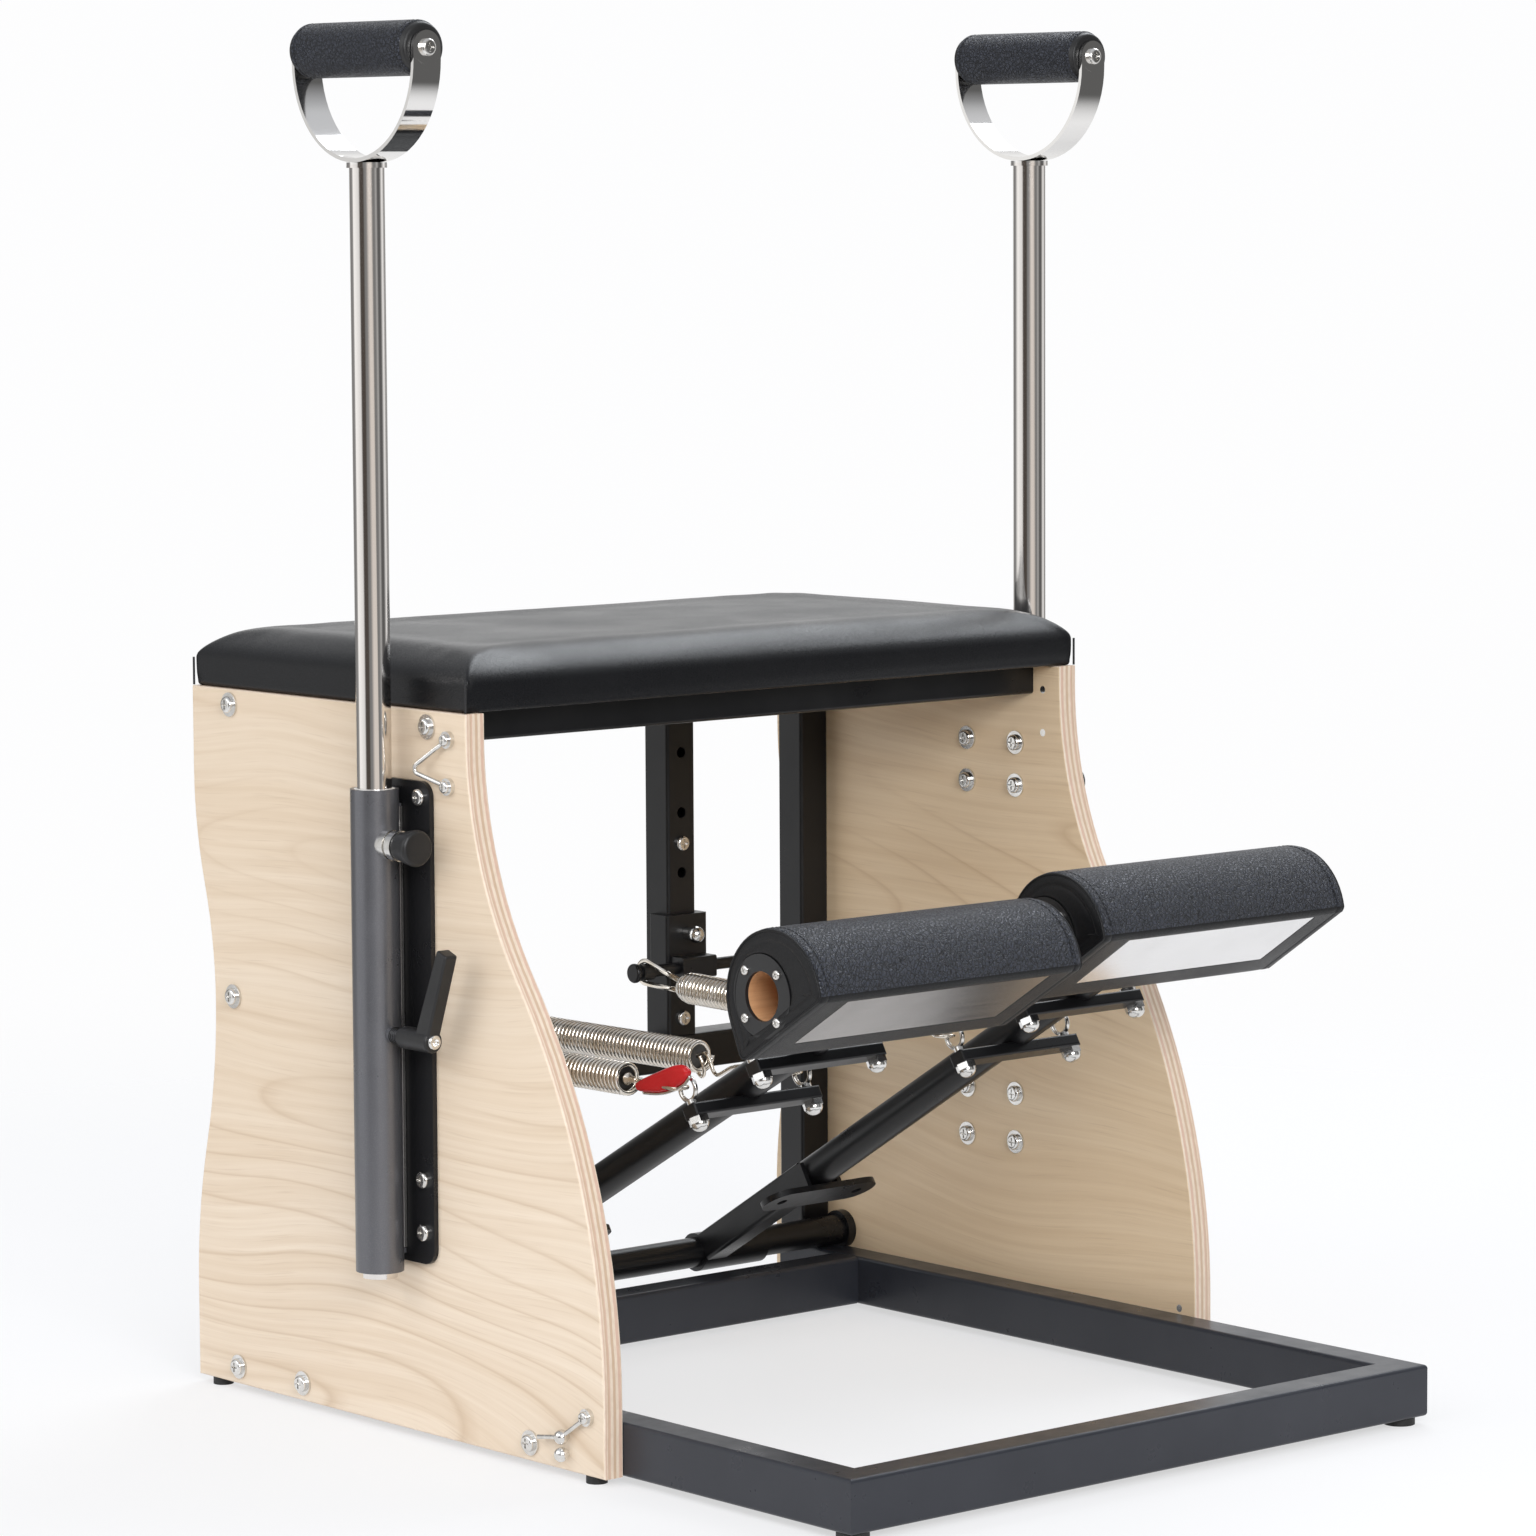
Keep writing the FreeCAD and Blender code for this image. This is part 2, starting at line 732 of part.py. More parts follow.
def pedal_arm():
    """Welded arm: a bored hub on a square link, a round tube, and a cross plate with two cheeks under its root."""
    half = link_size / 2
    hub_low = arm_x - half
    hub_high = arm_x + hub_overhang
    hub = rod(Vector(hub_low, 0, 0), Vector(hub_high, 0, 0), hub_radius)
    link = box(hub_low, arm_x + half, -cross_plate_reach, 0, -half, half)
    link = link.makeFillet(tube_edge_radius, along(link, y_axis))
    shaft = rod(Vector(hub_low - overrun, 0, 0), Vector(hub_high + overrun, 0, 0), hub_bore)
    hub = hub.fuse(link).removeSplitter().cut(shaft)
    bore = rod(Vector(arm_x, -cross_plate_reach - tube_plug, 0), Vector(arm_x, -arm_reach, 0),
               arm_tube_radius - arm_tube_wall)
    tube = arm_tube(arm_tube_radius).cut(bore).cut(pad_core_blank()).Solids[0]
    plate_half = cross_plate_length / 2 - cross_plate_width / 2
    plate_low = -arm_tube_radius - cross_plate_thickness
    plate = box(arm_x - plate_half, arm_x + plate_half, -cross_plate_reach - cross_plate_width / 2,
                -cross_plate_reach + cross_plate_width / 2, plate_low, -arm_tube_radius)
    cheeks = []
    for side in (-1, 1):
        end = Vector(arm_x + side * plate_half, -cross_plate_reach, plate_low)
        plate = plate.fuse(rod(end, end + z_axis * cross_plate_thickness, cross_plate_width / 2))
        near = arm_x + side * arm_tube_radius
        far = near + side * cheek_thickness
        cheeks.append(box(min(near, far), max(near, far), -cross_plate_reach - half,
                          -cross_plate_reach + half, -arm_tube_radius, cheek_height - arm_tube_radius))
    plate = plate.removeSplitter()
    for side in (-1, 1):
        end = Vector(arm_x + side * plate_half, -cross_plate_reach, plate_low)
        plate = plate.cut(rod(end - z_axis * overrun, end + z_axis * arm_tube_radius, cross_plate_hole_radius))
    return [hub, tube, plate] + cheeks


def spring_bars():
    pieces = []
    half = spring_bar_length / 2
    for reach in (spring_bar_reach, spare_bar_reach):
        bar = box(spring_x - half, spring_x + half, -reach - spring_bar_width / 2, -reach + spring_bar_width / 2,
                  bar_low, bar_low + spring_bar_height)
        bar = bar.makeFillet(tube_wall, along(bar, z_axis) + along(bar, x_axis))
        bar = bar.cut(arm_tube(arm_tube_radius))
        for x in (spring_x - spring_half_pitch, spring_x + spring_half_pitch):
            bar = bar.cut(rod(Vector(x, -reach, bar_low - overrun), Vector(x, -reach, eye_z), eye_stem_radius))
        pieces.append(bar)
    return pieces


def pedal_pad():
    """D-shaped pad: round over the top, a flat underside and a pointed rear lip."""
    centre = Vector(0, -pedal_round_ahead, -pedal_round_drop)
    corner_angle = math.atan2(-pedal_round_flat, pedal_corner - centre.y) + 2 * math.pi
    lip = Vector(0, pedal_tip, -pedal_flat)
    reach = lip - centre
    leave_angle = math.atan2(reach.z, reach.y) + math.acos(pedal_radius / reach.Length)

    def on_round(angle):
        return centre + Vector(0, math.cos(angle), math.sin(angle)) * pedal_radius

    corner = on_round(corner_angle)
    leave = on_round(leave_angle)
    edges = [line(corner, lip), line(lip, leave)]
    edges.append(arc(leave, on_round((leave_angle + corner_angle) / 2), corner))
    pad = Part.Face(Part.Wire(edges)).extrude(x_axis * pedal_length)
    pad.translate(x_axis * pedal_inner_x)
    return pad


def under_plate():
    low_y = pedal_corner + plate_front_inset
    return box(pedal_inner_x + plate_end_inset, pedal_inner_x + pedal_length - plate_end_inset,
               low_y, low_y + plate_width, -pedal_flat, -pedal_flat + plate_thickness)


def pedal_core():
    """Wooden tube through the pad, bored to take a dowel that joins both pedals."""
    low = pedal_inner_x + disc_thickness
    high = pedal_inner_x + pedal_length - disc_thickness
    core = rod(Vector(low, 0, 0), Vector(high, 0, 0), core_radius)
    return core.cut(rod(Vector(low - overrun, 0, 0), Vector(high + overrun, 0, 0), core_bore_radius))


def disc_screw_points():
    ring = disc_radius - disc_rim / 2
    start = math.pi / 4 + math.radians(arm_rise + pedal_tilt)
    angles = [start + 2 * math.pi * step / disc_screw_count for step in range(disc_screw_count)]
    return [(ring * math.cos(angle), ring * math.sin(angle)) for angle in angles]


def end_discs():
    """A ring let into each end of the pad, drilled for its screws."""
    discs = []
    for low in (pedal_inner_x, pedal_inner_x + pedal_length - disc_thickness):
        disc = rod(Vector(low, 0, 0), Vector(low + disc_thickness, 0, 0), disc_radius)
        far = low + disc_thickness + overrun
        disc = disc.cut(rod(Vector(low - overrun, 0, 0), Vector(far, 0, 0), disc_radius - disc_rim))
        for y, z in disc_screw_points():
            disc = disc.cut(rod(Vector(low - overrun, y, z), Vector(far, y, z), small_shank_radius))
        discs.append(disc)
    return discs


def disc_screws():
    screw = pan_screw(small_head_radius, small_head_height, small_head_rounding, small_shank_radius, disc_thickness)
    pieces = []
    for y, z in disc_screw_points():
        pieces.append(placed(screw, Vector(pedal_inner_x, y, z), -x_axis))
        pieces.append(placed(screw, Vector(pedal_inner_x + pedal_length, y, z), x_axis))
    return pieces


def bar_fasteners():
    """Eye bolts on the spring bar, plain bolts on the spare bar, and a dome nut under each."""
    pieces = []
    nut_top = bar_low
    stem_low_z = nut_top - nut_hex_height
    bar_top = bar_low + spring_bar_height
    nut = dome_nut(eye_stem_radius)
    for x in (spring_x - spring_half_pitch, spring_x + spring_half_pitch):
        for reach in (spring_bar_reach, spare_bar_reach):
            foot = Vector(x, -reach, stem_low_z)
            if reach == spring_bar_reach:
                centre = Vector(x, -reach, eye_z)
                ring = Part.makeTorus(eye_radius, eye_wire_radius, centre, x_axis)
                shoulder = rod(Vector(x, -reach, bar_top), centre - z_axis * eye_radius, eye_stem_radius)
                bolt = ring.fuse([shoulder, rod(foot, Vector(x, -reach, bar_top), eye_stem_radius)])
            else:
                bolt = rod(foot, Vector(x, -reach, bar_top), eye_stem_radius)
                head = Part.makeCylinder(bolt_head_radius, bolt_head_height, Vector(x, -reach, bar_top))
                bolt = bolt.fuse(head)
            pieces.append(bolt.removeSplitter())
            pieces.append(placed(nut, Vector(x, -reach, nut_top), z_axis))
    return pieces


def make_pedals():
    plate = under_plate()
    core = pedal_core()
    discs = end_discs()
    blank = rod(Vector(pedal_inner_x - overrun, 0, 0), Vector(pedal_inner_x + pedal_length + overrun, 0, 0),
                core_radius)
    pad = pedal_pad().cut(blank).cut(plate)
    for low in (pedal_inner_x, pedal_inner_x + pedal_length - disc_thickness):
        pad = pad.cut(rod(Vector(low, 0, 0), Vector(low + disc_thickness, 0, 0), disc_radius))
    pad = on_arm(pad).cut(arm_tube(arm_tube_radius))
    save_pedals("pedal_arm", pedal_arm())
    save_pedals("spring_bars", spring_bars())
    save_pedals("pedal_pad", [pad])
    save_pedals("pedal_plate", [on_arm(plate)])
    save_pedals("pedal_core", [on_arm(core)])
    save_pedals("pedal_end_discs", [on_arm(disc) for disc in discs])
    save_pedals("pedal_fasteners", [on_arm(screw) for screw in disc_screws()] + bar_fasteners())


# Springs are drawn along -Y on their own axis, which hangs below the hook rod, then tilted to point at the eye

def eye_centre(lift):
    rise = math.radians(arm_rise + lift)
    y = axle_y - spring_bar_reach * math.cos(rise) + eye_z * math.sin(rise)
    z = axle_height + spring_bar_reach * math.sin(rise) + eye_z * math.cos(rise)
    return Vector(0, y, z)


def spring_line(drop, lift):
    """Length of a spring's axis from below the hook rod to the eye, and the downward tilt of that axis."""
    run = Vector(0, hook_rod_y, hook_rod_height) - eye_centre(lift)
    length = math.sqrt(run.Length ** 2 - drop ** 2)
    return length, math.degrees(math.atan2(run.z, run.y) - math.asin(drop / run.Length))


def tilted(shape, x, drop, tilt):
    copy = shape.copy()
    copy.translate(z_axis * -drop)
    copy.rotate(middle, x_axis, tilt)
    copy.translate(Vector(x, hook_rod_y, hook_rod_height))
    return copy


def biarc(start, start_way, end, end_way):
    """Two arcs that leave one point and reach another along given directions."""
    run = end - start
    ways = start_way + end_way
    bend = 2 * (1 - start_way.dot(end_way))
    reach = (-run.dot(ways) + math.sqrt(run.dot(ways) ** 2 + bend * run.dot(run))) / bend
    first = start + start_way * reach
    second = end - end_way * reach
    join = (first + second) / 2
    edges = []
    for a, b, corner in ((start, join, first), (join, end, second)):
        chord_mid = (a + b) / 2
        way = corner - chord_mid
        half = (b - a).Length / 2
        turn = 2 * math.atan2(way.Length, half)
        edges.append(arc(a, chord_mid + way.normalize() * half * math.tan(turn / 4), b))
    return edges


def coil(length, turn_count):
    """Open-wound spring as one unbroken wire on half-turn biarcs."""
    pitch = length / turn_count

    def point(angle):
        along_axis = coil_start + pitch * angle / (2 * math.pi)
        return Vector(coil_radius * math.cos(angle), -along_axis, coil_radius * math.sin(angle))

    def way(angle):
        step = pitch / (2 * math.pi)
        return Vector(-coil_radius * math.sin(angle), -step, coil_radius * math.cos(angle)).normalize()

    edges = []
    for half_turn in range(2 * turn_count):
        a = math.pi * half_turn
        b = a + math.pi
        edges += biarc(point(a), way(a), point(b), way(b))
    return wire_rod(edges, point(0), way(0), wire_radius), edges


def print_least_gap(edges):
    """Least clear distance between one turn of a coil and the next, on points along the wire."""
    turn_edge_count = 4
    step_count = 6
    points = []
    for edge in edges[:turn_edge_count * 4]:
        points += edge.discretize(step_count)[:-1]
    apart = turn_edge_count * (step_count - 1) * 3 // 4
    least = min((points[i] - points[j]).Length for i in range(len(points)) for j in range(i + apart, len(points)))
    print("coil least gap to itself:", round(least - 2 * wire_radius, 2), "mm")


def plug(neck, foot, depth):
    """Turned plug in a coil's end: a cone from the neck to the coil, then a spigot inside the turns."""
    inward = math.copysign(1, foot - neck)
    tip = foot + inward * depth
    profile = [(0, neck), (plug_neck_radius, neck), (plug_radius, foot), (plug_radius, tip), (0, tip)]
    return placed(turned(profile), middle, -y_axis)


def rear_link(drop):
    """Wire link that goes round the roller and down to the coil's rear plug."""
    radius = roller_radius + slide_gap + wire_radius
    centre = Vector(0, 0, drop)
    neck = coil_start - plug_cone

    def touch(point, side):
        run = centre - point
        heading = math.atan2(run.z, run.y) + side * math.asin(radius / run.Length)
        way = Vector(0, math.cos(heading), math.sin(heading))
        return point + way * math.sqrt(run.Length ** 2 - radius ** 2)

    start = Vector(0, -neck, link_half_width)
    end = Vector(0, -neck, -link_half_width)
    upper = touch(start, 1)
    lower = touch(end, -1)
    far = centre + Vector(0, neck, drop).normalize() * radius
    edges = [line(start, upper), arc(upper, far, lower), line(lower, end)]
    loop = wire_rod(edges, start, upper - start, wire_radius)
    return loop.fuse(plug(neck, coil_start, plug_depth)).removeSplitter()


def front_plug(end):
    """Plug let into a coil's front end, bored for the leg of its hook."""
    face = end - plug_recess
    body = rod(y_axis * -face, y_axis * -(face - plug_depth), plug_radius)
    return body.cut(rod(y_axis * -(face + overrun), y_axis * -(face - hook_seat), wire_radius + running_gap))


def front_hook(end, length):
    """Wire hook from the plug in a coil's front end, bent round through the eye bolt."""
    bend = length - eye_radius + eye_wire_radius + hook_gap + wire_radius - hook_radius
    jog = hook_radius * 2
    beside = bend - hook_shank
    turn = 2 * math.atan2(hook_radius, jog)
    sweep = jog / math.sin(turn) / 2

    def leaving(angle):
        return Vector(sweep * (math.cos(angle) - 1), -beside + jog - sweep * math.sin(angle), 0)

    def arriving(angle):
        return Vector(-hook_radius - sweep * (math.cos(angle) - 1), -beside + sweep * math.sin(angle), 0)

    start = Vector(0, hook_seat + plug_recess - end, 0)
    near = Vector(-hook_radius, -bend, 0)
    peak = Vector(0, -bend - hook_radius, 0)
    far = Vector(hook_radius, -bend, 0)
    tip = Vector(hook_radius, -bend + hook_return, 0)
    edges = [line(start, leaving(0)), arc(leaving(0), leaving(turn / 2), leaving(turn))]
    edges += [arc(arriving(turn), arriving(turn / 2), arriving(0)), line(arriving(0), near)]
    edges += [arc(near, peak, far), line(far, tip)]
    return wire_rod(edges, start, -y_axis, wire_radius)


def spring_clip(end):
    """Coloured clip on the straight leg of one front hook."""
    near = y_axis * -(end + clip_setback)
    tip = near - y_axis * clip_length
    clip = rod(near, tip, clip_radius)
    clip = clip.makeFillet(clip_rounding, [edge for edge in clip.Edges if edge.Curve.TypeId == "Part::GeomCircle"])
    return clip.cut(rod(near + y_axis * overrun, tip - y_axis * overrun, wire_radius))


def roller():
    half = roller_width / 2
    ring = rod(Vector(-half, 0, 0), Vector(half, 0, 0), roller_radius)
    return ring.cut(rod(Vector(-half - overrun, 0, 0), Vector(half + overrun, 0, 0), hook_rod_radius + running_gap))


def make_springs(side, drop, lift, place):
    """Inner and outer spring of one pedal; the outer one is longer and hooks on closer to its eye."""
    length, tilt = spring_line(drop, lift)
    groups = {"spring_rollers": [], "spring_links": [], "spring_coils": [], "spring_plugs": [], "spring_hooks": []}
    inner = (spring_x - spring_half_pitch, length - inner_hook_reach, inner_turn_count)
    outer = (spring_x + spring_half_pitch, length - outer_hook_reach, outer_turn_count)
    for x, end, turn_count in (inner, outer):
        winding, edges = coil(end - coil_start, turn_count)
        print_least_gap(edges)
        wheel = roller()
        wheel.translate(Vector(x, hook_rod_y, hook_rod_height))
        groups["spring_rollers"].append(wheel)
        groups["spring_links"].append(tilted(rear_link(drop), x, drop, tilt))
        groups["spring_coils"].append(tilted(winding, x, drop, tilt))
        groups["spring_plugs"].append(tilted(front_plug(end), x, drop, tilt))
        groups["spring_hooks"].append(tilted(front_hook(end, length), x, drop, tilt))
    for name, pieces in groups.items():
        save(side + "_" + name, [place(piece) for piece in pieces])


def make_clip():
    """The one clip, on the left pedal's outer spring."""
    length, tilt = spring_line(left_spring_drop, 0)
    clip = spring_clip(length - outer_hook_reach)
    save("left_spring_clip", [mirrored(tilted(clip, spring_x + spring_half_pitch, left_spring_drop, tilt))])


# Carriages

def carriage():
    """Channel round the front of the spring post, with a boss that carries the hook rod and its round ends."""
    half = post_size / 2 + slide_gap + carriage_wall
    high = carriage_low + carriage_height
    sleeve = box(spring_post_x - half, spring_post_x + half, carriage_front_y, carriage_front_y + channel_depth,
                 carriage_low, high)
    sleeve = sleeve.makeFillet(tube_edge_radius, along(sleeve, z_axis))
    boss_half = boss_size / 2
    boss = box(spring_post_x - boss_half_width, spring_post_x + boss_half_width, hook_rod_y - boss_half,
               carriage_front_y + carriage_wall / 2, carriage_low, carriage_low + boss_size)
    boss = boss.makeFillet(tube_wall, along(boss, x_axis))
    low_x = spring_x - spring_half_pitch - roller_width / 2 - slide_gap - rod_end_gap
    high_x = spring_x + spring_half_pitch + roller_width / 2 + slide_gap + rod_end_gap
    pieces = [boss, rod(Vector(low_x, hook_rod_y, hook_rod_height), Vector(high_x, hook_rod_y, hook_rod_height),
                        hook_rod_radius)]
    for x, way in ((low_x, -1), (high_x, 1)):
        end = Vector(x, hook_rod_y, hook_rod_height)
        knob = rod(end, end + x_axis * way * rod_end_thickness, rod_end_radius)
        pieces.append(knob.makeFillet(tube_wall, knob.Edges[:1] + knob.Edges[2:3]))
    body = sleeve.fuse(pieces).removeSplitter()
    hole = post_size / 2 + slide_gap
    body = body.cut(box(spring_post_x - hole, spring_post_x + hole, post_front_y - slide_gap,
                        post_rear_y + slide_gap, carriage_low - overrun, high + overrun))
    pin_start = Vector(spring_post_x, carriage_front_y - overrun, carriage_pin_z)
    return body.cut(rod(pin_start, pin_start + y_axis * (carriage_wall + 2 * overrun), pin_radius + running_gap))


def carriage_pin():
    """Plunger with a round knob, its tip just clear of the post so that the carriage can slide."""
    tip = Vector(spring_post_x, post_front_y - slide_gap / 2, carriage_pin_z)
    knob = Vector(spring_post_x, carriage_front_y - carriage_knob_reach, carriage_pin_z)
    shaft = rod(knob, tip, pin_radius)
    collar = rod(knob, knob + y_axis * (carriage_knob_reach - slide_gap), pin_radius + tube_wall)
    return shaft.fuse([Part.makeSphere(carriage_knob_radius, knob), collar]).removeSplitter()


# Handle sockets

def socket_tube(radius):
    return rod(Vector(socket_x, socket_y, socket_low), Vector(socket_x, socket_y, socket_high), radius)


def handle_socket():
    plate_x = panel_outer_x + socket_plate_thickness
    plate = box(panel_outer_x, plate_x, socket_y - socket_plate_half_width, socket_y + socket_plate_half_width,
                socket_low + socket_plate_margin, socket_high + socket_plate_margin)
    plate = plate.makeFillet(socket_plate_corner, along(plate, x_axis))
    web = box(plate_x, socket_x, socket_y - socket_web_half_width, socket_y + socket_web_half_width,
              socket_low + socket_plate_corner, socket_high - socket_plate_corner)
    clamp_foot = Vector(socket_x, socket_y, clamp_z)
    clamp_boss = rod(clamp_foot, clamp_foot - y_axis * collar_reach, clamp_boss_radius)
    body = socket_tube(socket_radius).fuse([plate, web, clamp_boss]).removeSplitter()
    bore = rod(Vector(socket_x, socket_y, socket_low - overrun), Vector(socket_x, socket_y, socket_high + overrun),
               socket_bore_radius)
    body = body.cut(bore)
    for z in (collar_z, clamp_z):
        axis_point = Vector(socket_x, socket_y, z)
        body = body.cut(rod(axis_point, axis_point - y_axis * collar_reach, pin_radius + running_gap))
    for y, z in socket_bolt_spots():
        body = body.cut(rod(Vector(panel_outer_x - overrun, y, z), Vector(plate_x + overrun, y, z),
                            bolt_shank_radius))
    return body


def socket_bolts():
    """Through bolts: a head and washer inside the panel, and a button cap on the flange plate."""
    length = panel_thickness + socket_plate_thickness + washer_thickness
    bolt = pan_screw(bolt_head_radius, bolt_head_height, bolt_head_rounding, bolt_shank_radius, length)
    cap = pan_screw(bolt_head_radius, bolt_head_height, bolt_head_rounding, bolt_shank_radius, running_gap)
    ring = washer(bolt_shank_radius)
    plate_x = panel_outer_x + socket_plate_thickness
    pieces = []
    for y, z in socket_bolt_spots():
        pieces.append(placed(ring, Vector(panel_inner_x, y, z), -x_axis))
        whole = placed(bolt, Vector(panel_inner_x - washer_thickness, y, z), -x_axis)
        head = placed(cap, Vector(plate_x, y, z), x_axis)
        pieces.append(whole.fuse(head).removeSplitter())
    return pieces + [mirrored(piece) for piece in pieces]


def socket_bushes():
    """Nylon rings at both ends of each socket, in which the stem slides."""
    pieces = []
    for low in (socket_low, socket_high - bush_height):
        base = Vector(socket_x, socket_y, low)
        ring = rod(base, base + z_axis * bush_height, socket_bore_radius)
        pieces.append(ring.cut(rod(base - z_axis * overrun, base + z_axis * (bush_height + overrun),
                                   stem_radius + running_gap)))
    return pieces + [mirrored(piece) for piece in pieces]


def plunger_collar():
    """Grooved steel collar that the pull pin runs in."""
    start = Vector(socket_x, socket_y, collar_z)
    collar = rod(start, start - y_axis * collar_reach, collar_radius).cut(socket_tube(socket_radius))
    groove_start = start - y_axis * (socket_radius + collar_groove_start)
    groove_end = groove_start - y_axis * collar_groove_width
    groove = rod(groove_start, groove_end, collar_radius + overrun)
    collar = collar.cut(groove.cut(rod(groove_start, groove_end, collar_radius - collar_groove_depth)))
    return collar.cut(rod(start, start - y_axis * (collar_reach + overrun), pin_radius + running_gap))


# Handles

def bow_outline(half_width):
    bend_z = grip_z - bow_leg
    left = Vector(socket_x, socket_y - half_width, grip_z)
    left_low = Vector(socket_x, socket_y - half_width, bend_z)
    bottom = Vector(socket_x, socket_y, bend_z - half_width)
    right_low = Vector(socket_x, socket_y + half_width, bend_z)
    right = Vector(socket_x, socket_y + half_width, grip_z)
    return Part.Face(Part.Wire([line(left, left_low), arc(left_low, bottom, right_low), line(right_low, right),
                                line(right, left)]))


def handle_stem():
    """Tube closed at its top, with a flat band bow welded on it; the legs end round about the grip screws."""
    base = Vector(socket_x, socket_y, stem_low)
    top = Vector(socket_x, socket_y, stem_high)
    stem = rod(base, top, stem_radius).fuse(rod(top - z_axis * weld_height, top, weld_radius)).removeSplitter()
    stem = stem.cut(rod(base - z_axis * overrun, top - z_axis * weld_height, stem_radius - stem_wall))
    for step in range(stem_hole_count):
        hole = Vector(socket_x, socket_y, collar_z - pin_hole_pitch * step)
        stem = stem.cut(rod(hole, hole - y_axis * (stem_radius + overrun), pin_hole_radius))
    inner_half = bow_half_width - bow_thickness
    band = bow_outline(bow_half_width).extrude(x_axis * bow_band)
    band = band.cut(bow_outline(inner_half).extrude(x_axis * bow_band))
    band.translate(x_axis * (-bow_band / 2))
    for side in (-1, 1):
        inner = Vector(socket_x, socket_y + side * inner_half, grip_z)
        band = band.fuse(rod(inner, inner + y_axis * side * bow_thickness, bow_band / 2))
    far = y_axis * (bow_half_width + overrun)
    hub = Vector(socket_x, socket_y, grip_z)
    band = band.removeSplitter().cut(rod(hub - far, hub + far, bolt_shank_radius))
    return [stem.cut(band), band]


def handle_grip():
    half = y_axis * (bow_half_width - bow_thickness - grip_end_gap)
    hub = Vector(socket_x, socket_y, grip_z)
    grip = rod(hub - half, hub + half, grip_radius)
    rims = [edge for edge in grip.Edges if edge.Curve.TypeId == "Part::GeomCircle"]
    grip = grip.makeFillet(grip_rounding, rims)
    return grip.cut(rod(hub - half * 2, hub + half * 2, bolt_shank_radius))


def handle_screws():
    screw = pan_screw(bolt_head_radius, bolt_head_height, bolt_head_rounding, bolt_shank_radius,
                      bow_thickness + grip_screw_depth)
    hub = Vector(socket_x, socket_y, grip_z)
    return [placed(screw, hub + y_axis * side * bow_half_width, y_axis * side) for side in (-1, 1)]


def handle_pin():
    """Pull pin with a tapered knob, its tip just clear of the stem so that the handle can slide."""
    tip = Vector(socket_x, socket_y - stem_radius - slide_gap, collar_z)
    root = Vector(socket_x, socket_y - collar_reach - slide_gap, collar_z)
    knob = placed(Part.makeCone(knob_neck_radius, knob_radius, knob_length), root, -y_axis)
    end_rim = [edge for edge in knob.Edges if edge.Curve.TypeId == "Part::GeomCircle"]
    knob = knob.makeFillet(knob_rounding, [edge for edge in end_rim if edge.Curve.Radius > knob_neck_radius])
    return knob.fuse(rod(root - y_axis * knob_rounding, tip, pin_radius)).removeSplitter()


def clamp_lever():
    """Clamp screw with a long hub and a square-ended lever that leans away from the socket."""
    tip = Vector(socket_x, socket_y - stem_radius - slide_gap, clamp_z)
    root = Vector(socket_x, socket_y - collar_reach - slide_gap, clamp_z)
    hub = rod(root, root - y_axis * lever_hub_length, lever_hub_radius)
    hub = hub.makeFillet(tube_wall, [edge for edge in hub.Edges if edge.Curve.TypeId == "Part::GeomCircle"])
    lean = math.radians(lever_lean)
    way = Vector(0, -math.sin(lean), math.cos(lean))
    foot = root - y_axis * lever_hub_length * lever_foot_share
    corners = [(-lever_root_half, 0), (lever_root_half, 0), (lever_tip_half, lever_length),
               (-lever_tip_half, lever_length)]
    points = [Vector(-lever_width / 2, y, z) for y, z in corners]
    arm = Part.Face(Part.makePolygon(points + points[:1])).extrude(x_axis * lever_width)
    arm = arm.makeFillet(tube_wall, arm.Edges)
    arm = placed(arm, foot, way)
    return hub.fuse([arm, rod(root - y_axis * tube_wall, tip, pin_radius)]).removeSplitter()


def make_frame():
    board = seat_board()
    save_sides("side_panel", [side_panel()])
    save("panel_bolts", panel_bolts())
    save("strap_hooks", strap_hooks())
    save("base_front_rail", [base_front_rail()])
    save("base_side_rails", [base_side_rail(), mirrored(base_side_rail())])
    inner = panel_inner_x - rail_width
    save("base_rear_rail", [square_tube(Vector(-inner, rear_rail_y, foot_height),
                                        Vector(inner, rear_rail_y + rail_width, post_foot), x_axis)])
    post = upright(panel_inner_x - post_size / 2, post_foot)
    save("rear_posts", [post, mirrored(post)])
    bar_half = panel_inner_x - post_size
    save("rear_cross_bar", [square_tube(Vector(-bar_half, post_front_y, crossbar_top - post_size),
                                        Vector(bar_half, post_rear_y, crossbar_top), x_axis)])
    save("spring_posts", [spring_post(), mirrored(spring_post())])
    save("post_screws", post_screws())
    save("rubber_feet", rubber_feet())
    save("seat_rails", [cross_tube(front_seat_rail_y, seat_rail_low, seat_rail_height, seat_rail_width),
                        cross_tube(post_front_y, seat_rail_low, seat_rail_height, post_size)])
    save("seat_board", [board])
    save("seat_cushion", [seat_cushion(board)])
    save("pedal_axle", [pedal_axle()])


def make_handles():
    save_sides("handle_socket", [handle_socket()])
    save("socket_bolts", socket_bolts())
    save("socket_bushes", socket_bushes())
    save("plunger_collars", [plunger_collar(), mirrored(plunger_collar())])
    save_sides("handle_stem", handle_stem())
    save_sides("handle_grip", [handle_grip()])
    save_sides("handle_screws", handle_screws())
    save_sides("handle_pin", [handle_pin()])
    save_sides("clamp_lever", [clamp_lever()])


make_frame()
make_pedals()
make_springs("right", right_spring_drop, right_pedal_lift, Part.Shape.copy)
make_springs("left", left_spring_drop, 0, mirrored)
make_clip()
save_sides("carriage", [carriage()])
save_sides("carriage_pin", [carriage_pin()])
make_handles()
